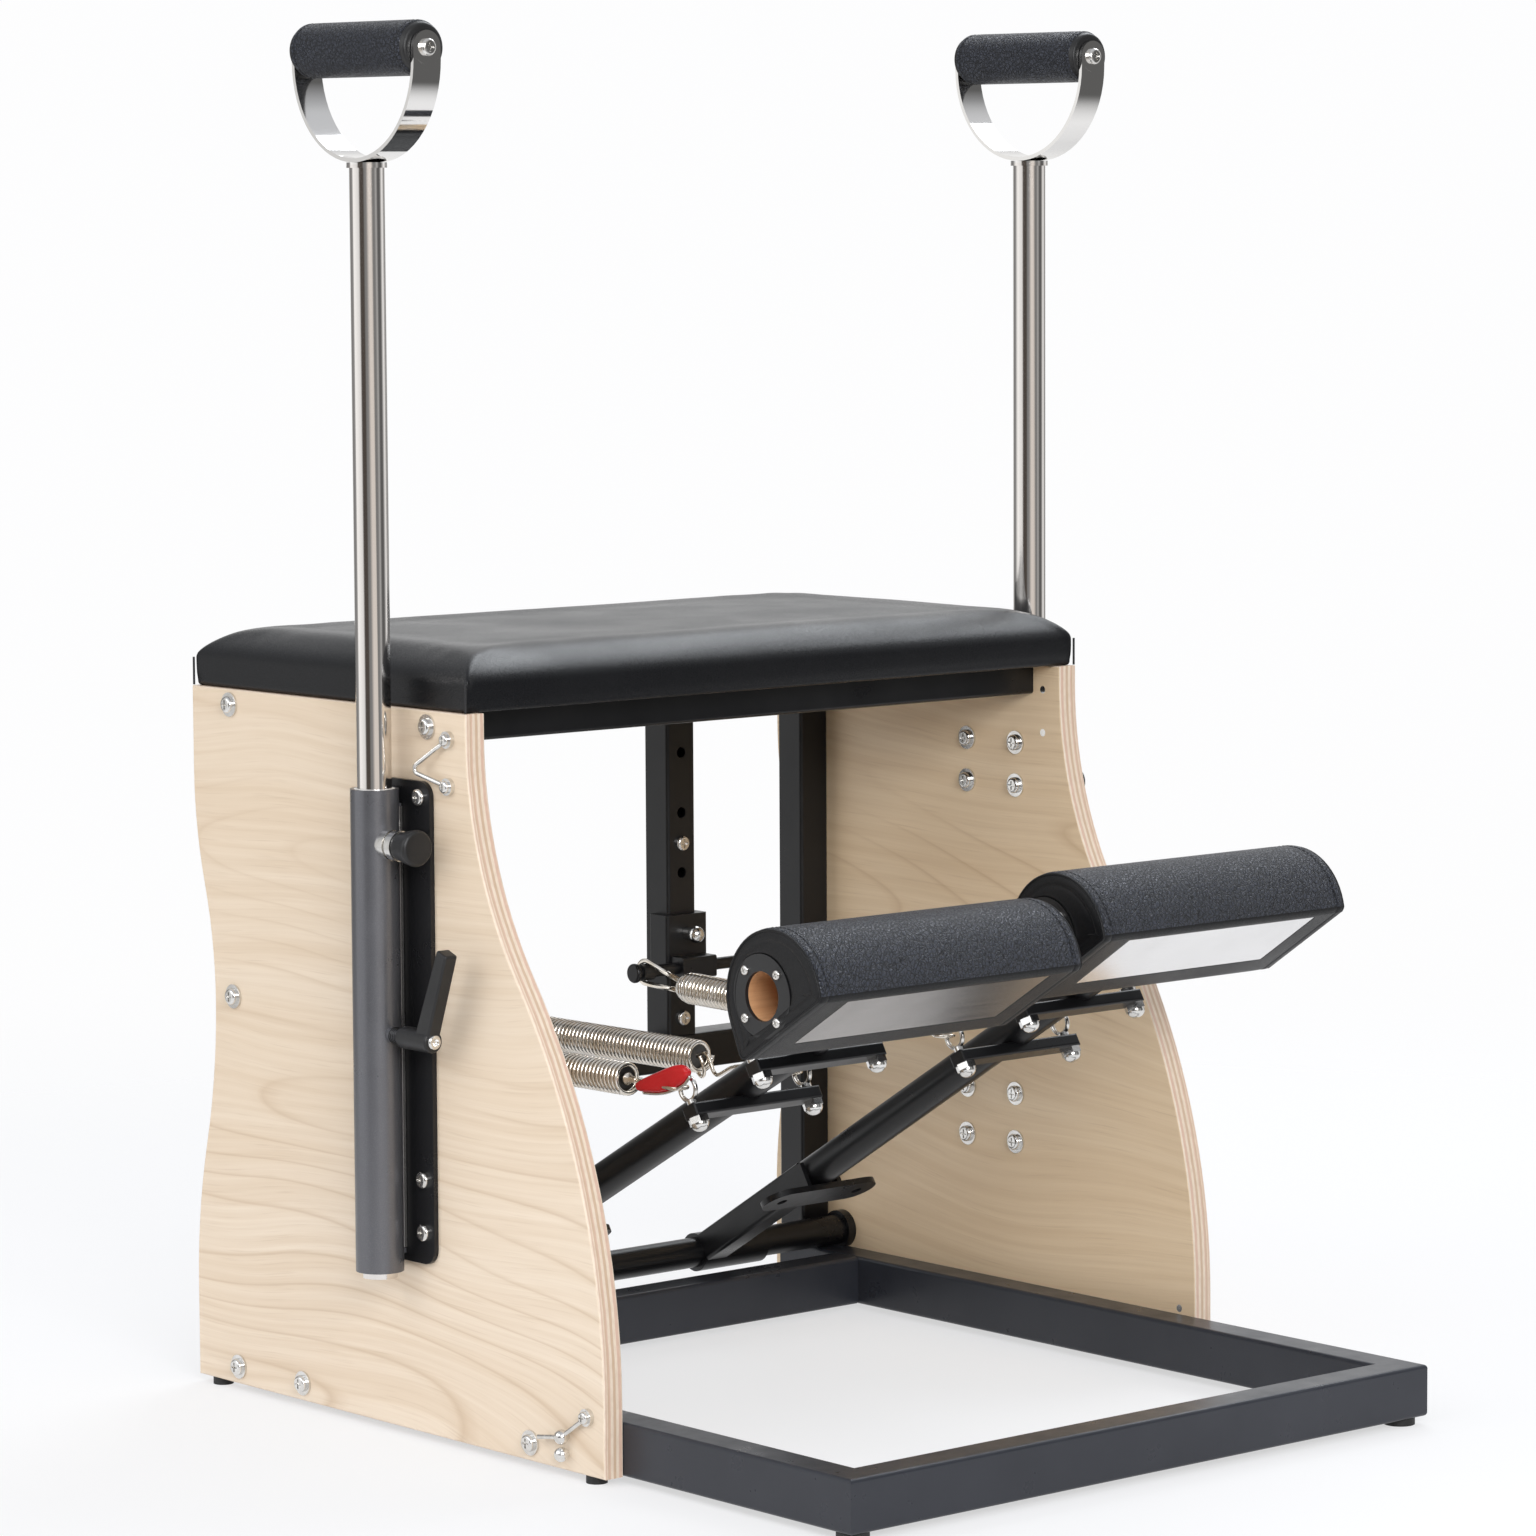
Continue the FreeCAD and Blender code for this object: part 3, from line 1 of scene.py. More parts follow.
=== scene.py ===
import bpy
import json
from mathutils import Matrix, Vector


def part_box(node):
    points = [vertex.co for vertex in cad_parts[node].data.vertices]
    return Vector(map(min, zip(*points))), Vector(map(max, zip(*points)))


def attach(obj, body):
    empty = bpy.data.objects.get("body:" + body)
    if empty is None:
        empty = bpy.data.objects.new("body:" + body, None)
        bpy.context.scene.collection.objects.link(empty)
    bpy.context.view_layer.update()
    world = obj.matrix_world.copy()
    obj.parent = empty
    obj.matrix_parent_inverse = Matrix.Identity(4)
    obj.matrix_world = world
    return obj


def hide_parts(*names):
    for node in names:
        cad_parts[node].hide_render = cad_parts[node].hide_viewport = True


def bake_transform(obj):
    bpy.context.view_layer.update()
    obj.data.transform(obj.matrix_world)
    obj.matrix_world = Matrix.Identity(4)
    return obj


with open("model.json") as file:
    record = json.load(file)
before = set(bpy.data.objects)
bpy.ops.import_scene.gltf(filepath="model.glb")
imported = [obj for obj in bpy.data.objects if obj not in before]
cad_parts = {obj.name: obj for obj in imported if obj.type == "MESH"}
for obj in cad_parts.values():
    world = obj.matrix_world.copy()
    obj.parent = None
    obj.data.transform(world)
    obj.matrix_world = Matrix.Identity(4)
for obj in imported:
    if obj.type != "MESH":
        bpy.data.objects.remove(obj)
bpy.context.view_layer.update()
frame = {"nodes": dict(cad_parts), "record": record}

import json
import math

import bmesh
import bpy
import numpy as np
from mathutils import Matrix, Vector, noise

SIDES = (("left", -1), ("right", 1))

# Sizes shared with the solids, in metres
PANEL_INNER_X = 0.2935
PANEL_THICKNESS = 0.018
PANEL_OUTER_X = PANEL_INNER_X + PANEL_THICKNESS
SOCKET_X = 0.3358
SOCKET_Y = 0.1065
SOCKET_PLATE_X = PANEL_OUTER_X + 0.0042
STEM_TOP_Z = 0.9595
BASE_TOP_Z = 0.0465
GRIP_Z = 1.044
GRIP_HALF = 0.0712
SEAT_HALF_X = 0.3115
SEAT_FRONT_Y = 0.026
SEAT_REAR_Y = 0.376
SEAT_LOW_Z = 0.555
SEAT_HEIGHT = 0.047
SEAT_ROLL = 0.066
SEAT_CORNER = 0.004
SEAT_CROWN = 0.0025
PEDAL_INNER_X = 0.015
PEDAL_OUTER_X = PEDAL_INNER_X + 0.255
PEDAL_RADIUS = 0.052
PEDAL_ROUND = Vector((-0.009, -0.008))
PEDAL_FLAT = 0.0315
PEDAL_TIP = 0.0475
PEDAL_CENTRES = {
    "left": Vector((0.0, -0.2600, 0.37104)),
    "right": Vector((0.0, -0.2511, 0.38633)),
}
PEDAL_PITCHES = {"left": math.radians(32.0), "right": math.radians(33.6)}
PLATE_FRONT_INSET = 0.006
PLATE_WIDTH = 0.068
PLATE_END_INSET = 0.030
PLATE_THICKNESS = 0.003
DISC_RADIUS = 0.0305
SPRING_XS = (0.081, 0.193)
SPRING_ROD = Vector((0.0, 0.296, 0.299))

# Drop below the rod, tilt and length of each side's spring line, out to its front eyes
SPRING_LINES = {
    "left": (0.0260, math.radians(-0.47422), 0.381303),
    "right": (0.0065, math.radians(0.89849), 0.375471),
}
COIL_REAR = 0.0475
COIL_FULL = 0.0600
COIL_RADIUS = 0.0110
COIL_NECK = 0.0050
COIL_WIRE = 0.0020
COIL_PITCH = 0.00455
HOOK_REACHES = (0.118, 0.069)
HOOK_RADIUS = 0.0070
HOOK_SET_IN = 0.01155
HOOK_WIRE = 0.00158
CLAMP_Z = 0.312
CLAMP_FRONT_Y = 0.0369
CLAMP_THREAD_RADIUS = 0.0057

# Camera and lamps
CAMERA_EYE = Vector((-2.8936, -3.3218, 0.9464))
CAMERA_TARGET = Vector((0.0, 0.046, 0.492))
CAMERA_AZIMUTH = math.atan2(CAMERA_EYE.y - CAMERA_TARGET.y, CAMERA_EYE.x - CAMERA_TARGET.x)
CAMERA_ROLL = math.radians(-0.3)
CAMERA_LENS = 134.63
LAMP_WHITE = (0.965, 0.980, 1.0)
BACKDROP_WHITE = (0.985, 0.985, 0.990)


# Finishes

class Nodes:
    """A node tree that is built up one step at a time."""

    def __init__(self, tree, coords):
        self.tree = tree
        self.tree.nodes.clear()
        self.coords = self.tree.nodes.new("ShaderNodeTexCoord").outputs[coords]

    def put(self, socket, value):
        if isinstance(value, bpy.types.NodeSocket):
            self.tree.links.new(value, socket)
        elif isinstance(value, (tuple, list)) and socket.type == "RGBA":
            socket.default_value = (*value[:3], 1.0)
        else:
            socket.default_value = value

    def node(self, kind, inputs=(), **settings):
        node = self.tree.nodes.new("ShaderNode" + kind)
        for key, value in settings.items():
            setattr(node, key, value)
        for key, value in dict(inputs).items():
            self.put(node.inputs[key], value)
        return node

    def math(self, operation, a, b=0.0, c=0.0):
        return self.node("Math", {0: a, 1: b, 2: c}, operation=operation).outputs[0]

    def place(self, scale=(1, 1, 1), location=(0, 0, 0), coords=None):
        inputs = {"Vector": coords or self.coords, "Scale": scale, "Location": location}
        return self.node("Mapping", inputs).outputs[0]

    def noise(self, scale, detail=3.0, rough=0.5, distortion=0.0, coords=None):
        inputs = {"Vector": coords or self.coords, "Scale": scale, "Detail": detail, "Roughness": rough,
                  "Distortion": distortion}
        return self.node("TexNoise", inputs).outputs["Fac"]

    def cells(self, scale, coords=None, feature="F1"):
        inputs = {"Vector": coords or self.coords, "Scale": scale}
        return self.node("TexVoronoi", inputs, feature=feature).outputs["Distance"]

    def ramp(self, factor, stops):
        node = self.node("ValToRGB", {"Fac": factor})
        elements = node.color_ramp.elements
        while len(elements) < len(stops):
            elements.new(0.5)
        for element, (position, color) in zip(elements, stops):
            element.position = position
            grey = not isinstance(color, (tuple, list))
            element.color = (color, color, color, 1.0) if grey else (*color, 1.0)
        return node.outputs["Color"]

    def span(self, value, low, high, to_low=0.0, to_high=1.0):
        inputs = {"Value": value, "From Min": low, "From Max": high, "To Min": to_low, "To Max": to_high}
        return self.node("MapRange", inputs).outputs["Result"]

    def mix(self, factor, a, b, blend="MIX"):
        node = self.node("Mix", data_type="RGBA", blend_type=blend)
        for index, value in ((0, factor), (6, a), (7, b)):
            self.put(node.inputs[index], value)
        return node.outputs[2]

    def bump(self, height, strength, distance):
        inputs = {"Height": height, "Strength": strength, "Distance": distance}
        return self.node("Bump", inputs).outputs["Normal"]

    def axes(self, coords=None):
        return self.node("SeparateXYZ", {"Vector": coords or self.coords}).outputs


class Finish(Nodes):
    """A material around one Principled shader."""

    def __init__(self, name, **sockets):
        self.material = bpy.data.materials.new(name)
        self.material.use_nodes = True
        super().__init__(self.material.node_tree, "Object")
        self.output = self.node("OutputMaterial")
        self.shader = self.node("BsdfPrincipled")
        self.tree.links.new(self.shader.outputs[0], self.output.inputs["Surface"])
        for socket, value in sockets.items():
            self.set(socket.replace("_", " "), value)

    def set(self, socket, value):
        self.put(self.shader.inputs[socket], value)


def plywood():
    """Pale birch veneer with drawn-out contour grain on the faces, and stacked plies along the edges."""
    f = Finish("birch_plywood", Specular_IOR_Level=0.42, Coat_Weight=0.10, Coat_Roughness=0.35)
    veneer, fibre, pores = veneer_grain(f)
    facing = f.math("ABSOLUTE", f.axes(f.node("NewGeometry").outputs["True Normal"])[0])
    f.set("Base Color", f.mix(f.math("GREATER_THAN", facing, 0.85), ply_edges(f), veneer))
    f.set("Roughness", f.span(fibre, 0.3, 0.7, 0.50, 0.40))
    height = f.math("ADD", f.math("MULTIPLY", fibre, 0.5), f.math("MULTIPLY", pores, 0.5))
    f.set("Normal", f.bump(height, 0.10, 0.0005))
    return f.material


def veneer_grain(f):
    """Colour of a panel's faces, with the fibre and pore patterns that also roughen it; the right sheet gets a
    painted warm cast that stands in for the warm bounced light on its shaded inner face.
    """
    x, y, z = f.axes()
    right = f.math("GREATER_THAN", x, 0.0)
    leaf = f.math("MULTIPLY", right, 3.7)
    sheet = f.node("CombineXYZ", {0: leaf, 1: y, 2: z}).outputs[0]
    wander = f.noise(1.6, 2.0, 0.5, coords=f.place((1, 0.7, 1.2), coords=sheet))
    bent_z = f.math("ADD", z, f.span(wander, 0.3, 0.7, -0.05, 0.05))
    bent = f.node("CombineXYZ", {0: leaf, 1: y, 2: bent_z}).outputs[0]

    # Growth rings are contour lines of a slow field that is stretched along the panel
    field = f.noise(2.1, 1.3, 0.40, 0.2, f.place((1, 0.19, 1.9), (0.3, 0.1, 0.7), coords=bent))
    rings = f.math("FRACT", f.math("MULTIPLY", field, 36.0))
    line = f.ramp(rings, [(0.0, 0.0), (0.05, 0.50), (0.13, 0.92), (0.86, 1.0), (0.95, 0.80), (1.0, 0.0)])
    patch = f.noise(3.0, 2.0, 0.5, coords=f.place((1, 0.5, 1.5), (2.2, 0.4, 0.6), coords=bent))
    strength = f.math("MULTIPLY", f.span(patch, 0.42, 0.60, 0.08, 1.0), 0.44)
    faint = f.math("MULTIPLY", f.math("SUBTRACT", 1.0, line), strength)

    streak = f.noise(26.0, 3.0, 0.6, coords=f.place((1, 0.035, 1), coords=bent))
    fibre = f.noise(150.0, 4.0, 0.62, coords=f.place((1, 0.016, 1), coords=bent))
    pores = f.noise(520.0, 2.0, 0.6, coords=f.place((1, 0.025, 1), coords=bent))
    tone = f.noise(1.1, 2.0, 0.55, coords=f.place((1, 0.45, 2.6), (1.4, 0.2, 0.1), coords=bent))
    veneer = f.mix(f.span(tone, 0.32, 0.68), (0.800, 0.670, 0.520), (0.860, 0.745, 0.610))
    veneer = f.mix(f.span(streak, 0.34, 0.70, 0.34, 0.0), veneer, (0.690, 0.525, 0.355))
    veneer = f.mix(faint, veneer, (0.480, 0.310, 0.170))
    veneer = f.mix(f.span(fibre, 0.36, 0.66, 0.34, 0.0), veneer, (0.600, 0.440, 0.285))
    veneer = f.mix(f.span(pores, 0.58, 0.74, 0.0, 0.22), veneer, (0.470, 0.320, 0.195))
    # Painted light: a warm cast on the right sheet that stands in for the warm bounced light on the right
    # panel's shaded inner face.
    painted_warm_bounce = f.mix(1.0, veneer, (1.070, 1.005, 0.880), "MULTIPLY")
    return f.mix(right, veneer, painted_warm_bounce), fibre, pores


def ply_edges(f):
    """Colour of a panel's edges: plies of three tones across its thickness."""
    depth = f.span(f.math("ABSOLUTE", f.axes()[0]), PANEL_INNER_X, PANEL_OUTER_X)
    waver = f.span(f.noise(22.0, 3.0, 0.6), 0.3, 0.7, -0.02, 0.02)
    light, pink, tan = (0.800, 0.675, 0.545), (0.690, 0.480, 0.370), (0.620, 0.450, 0.315)
    stops = [
        (0.0, light), (0.075, light), (0.10, pink), (0.22, pink), (0.245, light), (0.36, light),
        (0.385, tan), (0.50, tan), (0.525, light), (0.64, light), (0.665, pink), (0.78, tan),
        (0.805, light), (0.90, pink), (0.925, light), (1.0, light)]
    plies = f.ramp(f.math("ADD", depth, waver), stops)
    end_grain = f.noise(300.0, 3.0, 0.6, coords=f.place((1.6, 0.5, 0.5)))
    return f.mix(f.span(end_grain, 0.35, 0.75, 0.0, 0.28), plies, (0.46, 0.30, 0.19))


def coated_steel(name, rough):
    """Satin powder coat with a fine orange-peel skin and slightly uneven gloss, still without its colour."""
    f = Finish(name, Specular_IOR_Level=0.36)
    f.set("Roughness", f.span(f.noise(26.0, 4.0, 0.65), 0.3, 0.7, rough - 0.05, rough + 0.07))
    f.set("Normal", f.bump(f.noise(380.0, 2.0, 0.5), 0.08, 0.0004))
    return f


def frame_steel():
    """Black coat on the posts and arms, and a bluer, paler coat on the base near the floor; the split is
    partly the coats' own colour and partly painted light, with the base lighter for the light and sheen on it
    and the posts darker for their shade.
    """
    f = coated_steel("black_coat", 0.31)
    base = f.math("LESS_THAN", f.axes()[2], BASE_TOP_Z)
    cloud = f.noise(7.0, 4.0, 0.6)
    # The base's paler, bluer charcoal is partly painted light, standing in for the light and bluish sheen on
    # the base; the black of the posts and arms is partly painted shade.
    base_coat_and_painted_light = f.mix(f.span(cloud, 0.3, 0.7), (0.0225, 0.0244, 0.0312), (0.0312, 0.0335, 0.0420))
    black = f.mix(f.span(cloud, 0.3, 0.7), (0.0050, 0.0050, 0.0056), (0.0085, 0.0085, 0.0095))
    f.set("Base Color", f.mix(base, black, base_coat_and_painted_light))
    return f.material


def socket_steel():
    """Graphite tube on a black flange plate, split by the distance from the panel."""
    f = coated_steel("graphite_coat", 0.30)
    x = f.math("ABSOLUTE", f.axes()[0])
    tube = f.math("GREATER_THAN", x, SOCKET_PLATE_X + 0.0008)
    flake = f.cells(1400.0)
    grey = f.mix(f.span(flake, 0.2, 0.9, 0.0, 0.5), (0.130, 0.131, 0.142), (0.190, 0.191, 0.203))
    f.set("Base Color", f.mix(tube, (0.010, 0.010, 0.011), grey))
    f.set("Metallic", f.math("MULTIPLY", tube, 0.6))
    return f.material


def stainless():
    """Ground tube whose faint scratches run round it, and a polished bow above it."""
    f = Finish("stainless", Metallic=1.0)
    polished = f.math("GREATER_THAN", f.axes()[2], STEM_TOP_Z)
    lines = f.noise(2600.0, 2.0, 0.6, coords=f.place((0.02, 0.02, 1)))
    stain = f.noise(5.0, 3.0, 0.6, coords=f.place((1, 1, 0.25)))
    tube = f.mix(f.span(stain, 0.35, 0.7), (0.820, 0.790, 0.765), (0.740, 0.705, 0.675))
    f.set("Base Color", f.mix(polished, tube, (0.800, 0.785, 0.765)))
    ground = f.math("ADD", f.span(lines, 0.3, 0.7, -0.02, 0.02), f.span(stain, 0.3, 0.7, 0.09, 0.12))
    f.set("Roughness", f.mix(polished, ground, f.span(stain, 0.3, 0.7, 0.05, 0.09)))
    f.set("Normal", f.bump(lines, 0.015, 0.0001))
    return f.material


def plated(name, light, dark, low, high):
    """Bright plating with faint handling marks, and roughness that varies in its own patches."""
    f = Finish(name, Metallic=1.0)
    marks = f.noise(60.0, 4.0, 0.65, 0.4)
    f.set("Base Color", f.mix(f.span(marks, 0.35, 0.68), light, dark))
    f.set("Roughness", f.span(f.noise(140.0, 3.0, 0.6), 0.3, 0.7, low, high))
    f.set("Normal", f.bump(f.noise(700.0, 2.0, 0.5), 0.05, 0.0002))
    return f.material


def aluminium():
    """Brushed plate, darker on the chair's left side than on its right."""
    f = Finish("satin_aluminium", Metallic=0.85)
    lines = f.noise(900.0, 3.0, 0.6, coords=f.place((0.012, 1, 1)))
    cloud = f.noise(14.0, 4.0, 0.6)
    bright = f.mix(f.span(cloud, 0.3, 0.7), (0.74, 0.735, 0.735), (0.82, 0.815, 0.815))
    left_tone = f.mix(f.span(cloud, 0.3, 0.7), (0.27, 0.255, 0.245), (0.36, 0.345, 0.335))
    f.set("Base Color", f.mix(f.math("GREATER_THAN", f.axes()[0], 0.0), left_tone, bright))
    f.set("Roughness", f.span(lines, 0.3, 0.7, 0.15, 0.23))
    f.set("Normal", f.bump(lines, 0.05, 0.0002))
    return f.material


def hide(name, dark, light, grain, rough, depth, gloss):
    """Coated fabric with a pebbled grain of cells of two sizes; its colour is painted shade, dark in the
    creases, and painted highlight, paler on the raised pebbles.
    """
    f = Finish(name, Specular_IOR_Level=gloss)
    drift = f.span(f.noise(grain * 0.6, 2.0, 0.5), 0.0, 1.0, -0.7 / grain, 0.7 / grain)
    shift = f.node("CombineXYZ", {0: drift, 1: drift, 2: drift}).outputs[0]
    moved = f.node("VectorMath", {0: f.coords, 1: shift}, operation="ADD").outputs[0]
    pebble = f.span(f.cells(grain, moved, "DISTANCE_TO_EDGE"), 0.0, 0.22)
    small = f.span(f.cells(grain * 2.1, moved, "DISTANCE_TO_EDGE"), 0.0, 0.20, 0.55, 1.0)
    pebble_relief_and_painted_light = f.span(f.math("MULTIPLY", f.math("SQRT", pebble), small), 0.20, 0.92)
    cloud = f.span(f.noise(5.0, 3.0, 0.6), 0.3, 0.7, 0.75, 1.0)
    # Painted shade in the creases and painted highlight on the raised pebbles: the colour follows the relief.
    f.set("Base Color", f.mix(f.math("MULTIPLY", pebble_relief_and_painted_light, cloud), dark, light))
    patchy = f.span(f.noise(11.0, 3.0, 0.6), 0.3, 0.7, rough - 0.05, rough + 0.05)
    f.set("Roughness", f.math("ADD", patchy, f.span(pebble_relief_and_painted_light, 0.0, 1.0, 0.08, -0.04)))
    f.set("Normal", f.bump(pebble_relief_and_painted_light, depth, 0.3 / grain))
    return f.material


def moulded(name, color, rough, grain=420.0):
    """Moulded plastic or rubber with a fine spark-eroded texture and a faint bloom."""
    f = Finish(name, Specular_IOR_Level=0.45)
    bloom = f.noise(18.0, 4.0, 0.65)
    f.set("Base Color", f.mix(f.span(bloom, 0.35, 0.75), color, [min(1.0, c * 1.45 + 0.003) for c in color]))
    f.set("Roughness", f.span(f.noise(75.0, 3.0, 0.6), 0.3, 0.7, rough - 0.05, rough + 0.06))
    f.set("Normal", f.bump(f.noise(grain * 2, 2.0, 0.5), 0.12, 0.0003))
    return f.material


def turned_wood():
    f = Finish("turned_wood", Specular_IOR_Level=0.35)
    grain = f.noise(60.0, 4.0, 0.6, 0.3, f.place((0.05, 1, 1)))
    fine = f.noise(420.0, 3.0, 0.6, coords=f.place((0.03, 1, 1)))
    wood = f.mix(f.span(grain, 0.35, 0.68), (0.610, 0.350, 0.180), (0.500, 0.262, 0.125))
    f.set("Base Color", f.mix(f.span(fine, 0.5, 0.75, 0.0, 0.4), wood, (0.36, 0.18, 0.08)))
    f.set("Roughness", f.span(fine, 0.3, 0.7, 0.48, 0.62))
    f.set("Normal", f.bump(fine, 0.15, 0.0004))
    return f.material


FINISHES = {
    "plywood": plywood(),
    "black_steel": frame_steel(),
    "grey_steel": socket_steel(),
    "stainless": stainless(),
    "zinc": plated("zinc_plate", (0.80, 0.795, 0.78), (0.62, 0.60, 0.57), 0.12, 0.24),
    "spring_steel": plated("nickel_wire", (0.860, 0.820, 0.760), (0.720, 0.640, 0.530), 0.14, 0.24),
    "aluminium": aluminium(),
    # The seat vinyl's blue cast is painted light: it stands in for the bluish light seen in the seat's
    # highlights.
    "seat_vinyl": hide("seat_vinyl", (0.0034, 0.0036, 0.0044), (0.0076, 0.0081, 0.0100),
                       grain=900.0, rough=0.29, depth=0.16, gloss=0.30),
    "pedal_vinyl": hide("pebbled_hide", (0.0018, 0.0022, 0.0040), (0.0500, 0.0565, 0.0770),
                        grain=320.0, rough=0.38, depth=1.0, gloss=0.42),
    "black_plastic": moulded("black_moulding", (0.0085, 0.0085, 0.0090), 0.42),
    "red_plastic": moulded("red_moulding", (0.520, 0.012, 0.016), 0.15, 60.0),
    "white_nylon": moulded("white_nylon", (0.78, 0.78, 0.76), 0.45),
    "core_wood": turned_wood(),
    "rubber": moulded("black_rubber", (0.012, 0.012, 0.012), 0.6),
}
SMOOTH_HIDE = hide("smooth_hide", (0.0026, 0.0026, 0.0031), (0.0060, 0.0061, 0.0072),
                   grain=700.0, rough=0.40, depth=0.25, gloss=0.28)
THREAD = moulded("black_thread", (0.010, 0.010, 0.011), 0.62, 1500.0)
DARK_STEEL = plated("dark_steel", (0.110, 0.105, 0.100), (0.060, 0.056, 0.052), 0.30, 0.45)

for entry in frame["record"]["subparts"]:
    node = frame["nodes"][entry["node"]]
    node.data.materials.clear()
    plug = entry["node"].endswith("spring_plugs")
    node.data.materials.append(DARK_STEEL if plug else FINISHES[entry["material_slot"]])


# Mesh tools

def new_piece(name, points, faces, slot, smooth=True):
    mesh = bpy.data.meshes.new(name)
    mesh.from_pydata([tuple(p) for p in points], [], faces)
    mesh.validate()
    shell = bmesh.new()
    shell.from_mesh(mesh)
    bmesh.ops.recalc_face_normals(shell, faces=shell.faces)
    shell.to_mesh(mesh)
    shell.free()
    if smooth:
        mesh.polygons.foreach_set("use_smooth", [True] * len(mesh.polygons))
    mesh.materials.append(FINISHES[slot])
    piece = bpy.data.objects.new(name, mesh)
    bpy.context.scene.collection.objects.link(piece)
    return piece


def angles(count):
    return [2 * math.pi * step / count for step in range(count)]


def band(base, fresh, deep):
    """Faces between two rings of points, turned over when deep is below zero."""
    faces = []
    count = len(base)
    for i in range(count):
        j = (i + 1) % count
        quad = (base[i], base[j], fresh[j], fresh[i])
        faces.append(quad if deep > 0 else tuple(reversed(quad)))
    return faces


def ring_faces(rings, sides, closed_ends):
    """Faces round a stack of rings with the same number of points each."""
    faces = []
    for ring in range(rings - 1):
        base = range(ring * sides, (ring + 1) * sides)
        faces += band(base, [i + sides for i in base], 1)
    if closed_ends:
        faces.append(tuple(range(sides - 1, -1, -1)))
        faces.append(tuple((rings - 1) * sides + step for step in range(sides)))
    return faces


def tube_mesh(path, radius, sides, closed_ends=True):
    """Points and faces of a round tube along a path, with one turning frame carried along it."""
    path = [Vector(p) for p in path]
    radii = radius if isinstance(radius, (list, tuple)) else [radius] * len(path)
    points = []
    way = (path[1] - path[0]).normalized()
    across = way.orthogonal().normalized()
    for index, centre in enumerate(path):
        ahead = path[min(index + 1, len(path) - 1)]
        behind = path[max(index - 1, 0)]
        way = (ahead - behind).normalized()
        across = (across - way * across.dot(way)).normalized()
        other = way.cross(across)
        for angle in angles(sides):
            points.append(centre + (across * math.cos(angle) + other * math.sin(angle)) * radii[index])
    return points, ring_faces(len(path), sides, closed_ends)


def joined(parts):
    """Several point and face lists as one."""
    points, faces = [], []
    for more_points, more_faces in parts:
        start = len(points)
        points += list(more_points)
        faces += [tuple(start + i for i in face) for face in more_faces]
    return points, faces


def smooth_line(points, steps=6, closed=False):
    """Points along a smooth curve that passes through the given ones."""
    points = [Vector(p) for p in points]
    count = len(points)
    line = []
    for i in range(count if closed else count - 1):
        near = range(i - 1, i + 3)
        if not closed:
            near = [min(max(k, 0), count - 1) for k in near]
        a, b, c, d = (points[k % count] for k in near)
        for step in range(steps):
            t = step / steps
            line.append(b + (c - a) * (t / 2) + (a * 2 - b * 5 + c * 4 - d) * (t * t / 2)
                        + (b * 3 - a - c * 3 + d) * (t ** 3 / 2))
    return line if closed else line + [points[-1]]


def lathe(profile, turns, place):
    """Points and faces of a turned piece; the profile gives (radius, height) and place sets it down."""
    points = []
    for radius, height in profile:
        for angle in angles(turns):
            points.append(place(radius * math.cos(angle), radius * math.sin(angle), height))
    return points, ring_faces(len(profile), turns, True)


def stitch_parts(path, outward, pitch, length, radius):
    """Short sewn threads along a path; each dips into the cover at its ends."""
    path = [Vector(p) for p in path]
    runs = [0.0]
    for a, b in zip(path, path[1:]):
        runs.append(runs[-1] + (b - a).length)

    def at(distance):
        distance = min(max(distance, 0.0), runs[-1])
        index = max(i for i in range(len(runs)) if runs[i] <= distance)
        index = min(index, len(path) - 2)
        share = (distance - runs[index]) / max(runs[index + 1] - runs[index], 1e-9)
        up = Vector(outward[index]).lerp(Vector(outward[index + 1]), share)
        return path[index].lerp(path[index + 1], share), up

    parts = []
    for step in range(int(runs[-1] / pitch)):
        middle = (step + 0.5) * pitch
        line = []
        for share in (-0.5, -0.3, 0.0, 0.3, 0.5):
            point, up = at(middle + share * length)
            rise = radius * (1.0 - 6.0 * share * share)
            line.append(point + up.normalized() * rise)
        parts.append(tube_mesh(line, [radius * 0.6, radius, radius, radius, radius * 0.6], 6))
    return parts


def subdivide(piece):
    finer = piece.modifiers.new("finer", "SUBSURF")
    finer.levels = finer.render_levels = 1


def settle(piece, pinned, pressure, cap, frames=18):
    """Blows a cover up a little with cloth pressure, with some points pinned and every move capped."""
    rest = np.array([v.co for v in piece.data.vertices])
    group = piece.vertex_groups.new(name="pinned")
    group.add([int(i) for i in pinned], 1.0, "REPLACE")
    cloth = piece.modifiers.new("settle", "CLOTH")
    cloth.settings.quality = 6
    cloth.settings.mass = 0.4
    cloth.settings.tension_stiffness = 40
    cloth.settings.compression_stiffness = 40
    cloth.settings.shear_stiffness = 20
    cloth.settings.bending_stiffness = 4
    cloth.settings.use_pressure = True
    cloth.settings.uniform_pressure_force = pressure
    cloth.settings.vertex_group_mass = group.name
    cloth.settings.effector_weights.gravity = 0
    cloth.collision_settings.use_collision = False
    scene = bpy.context.scene
    for step in range(1, frames + 1):
        scene.frame_set(step)
    shown = piece.evaluated_get(bpy.context.evaluated_depsgraph_get())
    moved = np.array([v.co for v in shown.data.vertices])
    piece.modifiers.remove(cloth)
    piece.vertex_groups.remove(group)
    scene.frame_set(1)
    shift = moved - rest
    length = np.linalg.norm(shift, axis=1, keepdims=True)
    shift *= np.minimum(1.0, cap / np.maximum(length, 1e-9))
    piece.data.vertices.foreach_set("co", (rest + shift).astype(np.float32).ravel())
    piece.data.update()


# Seat cushion

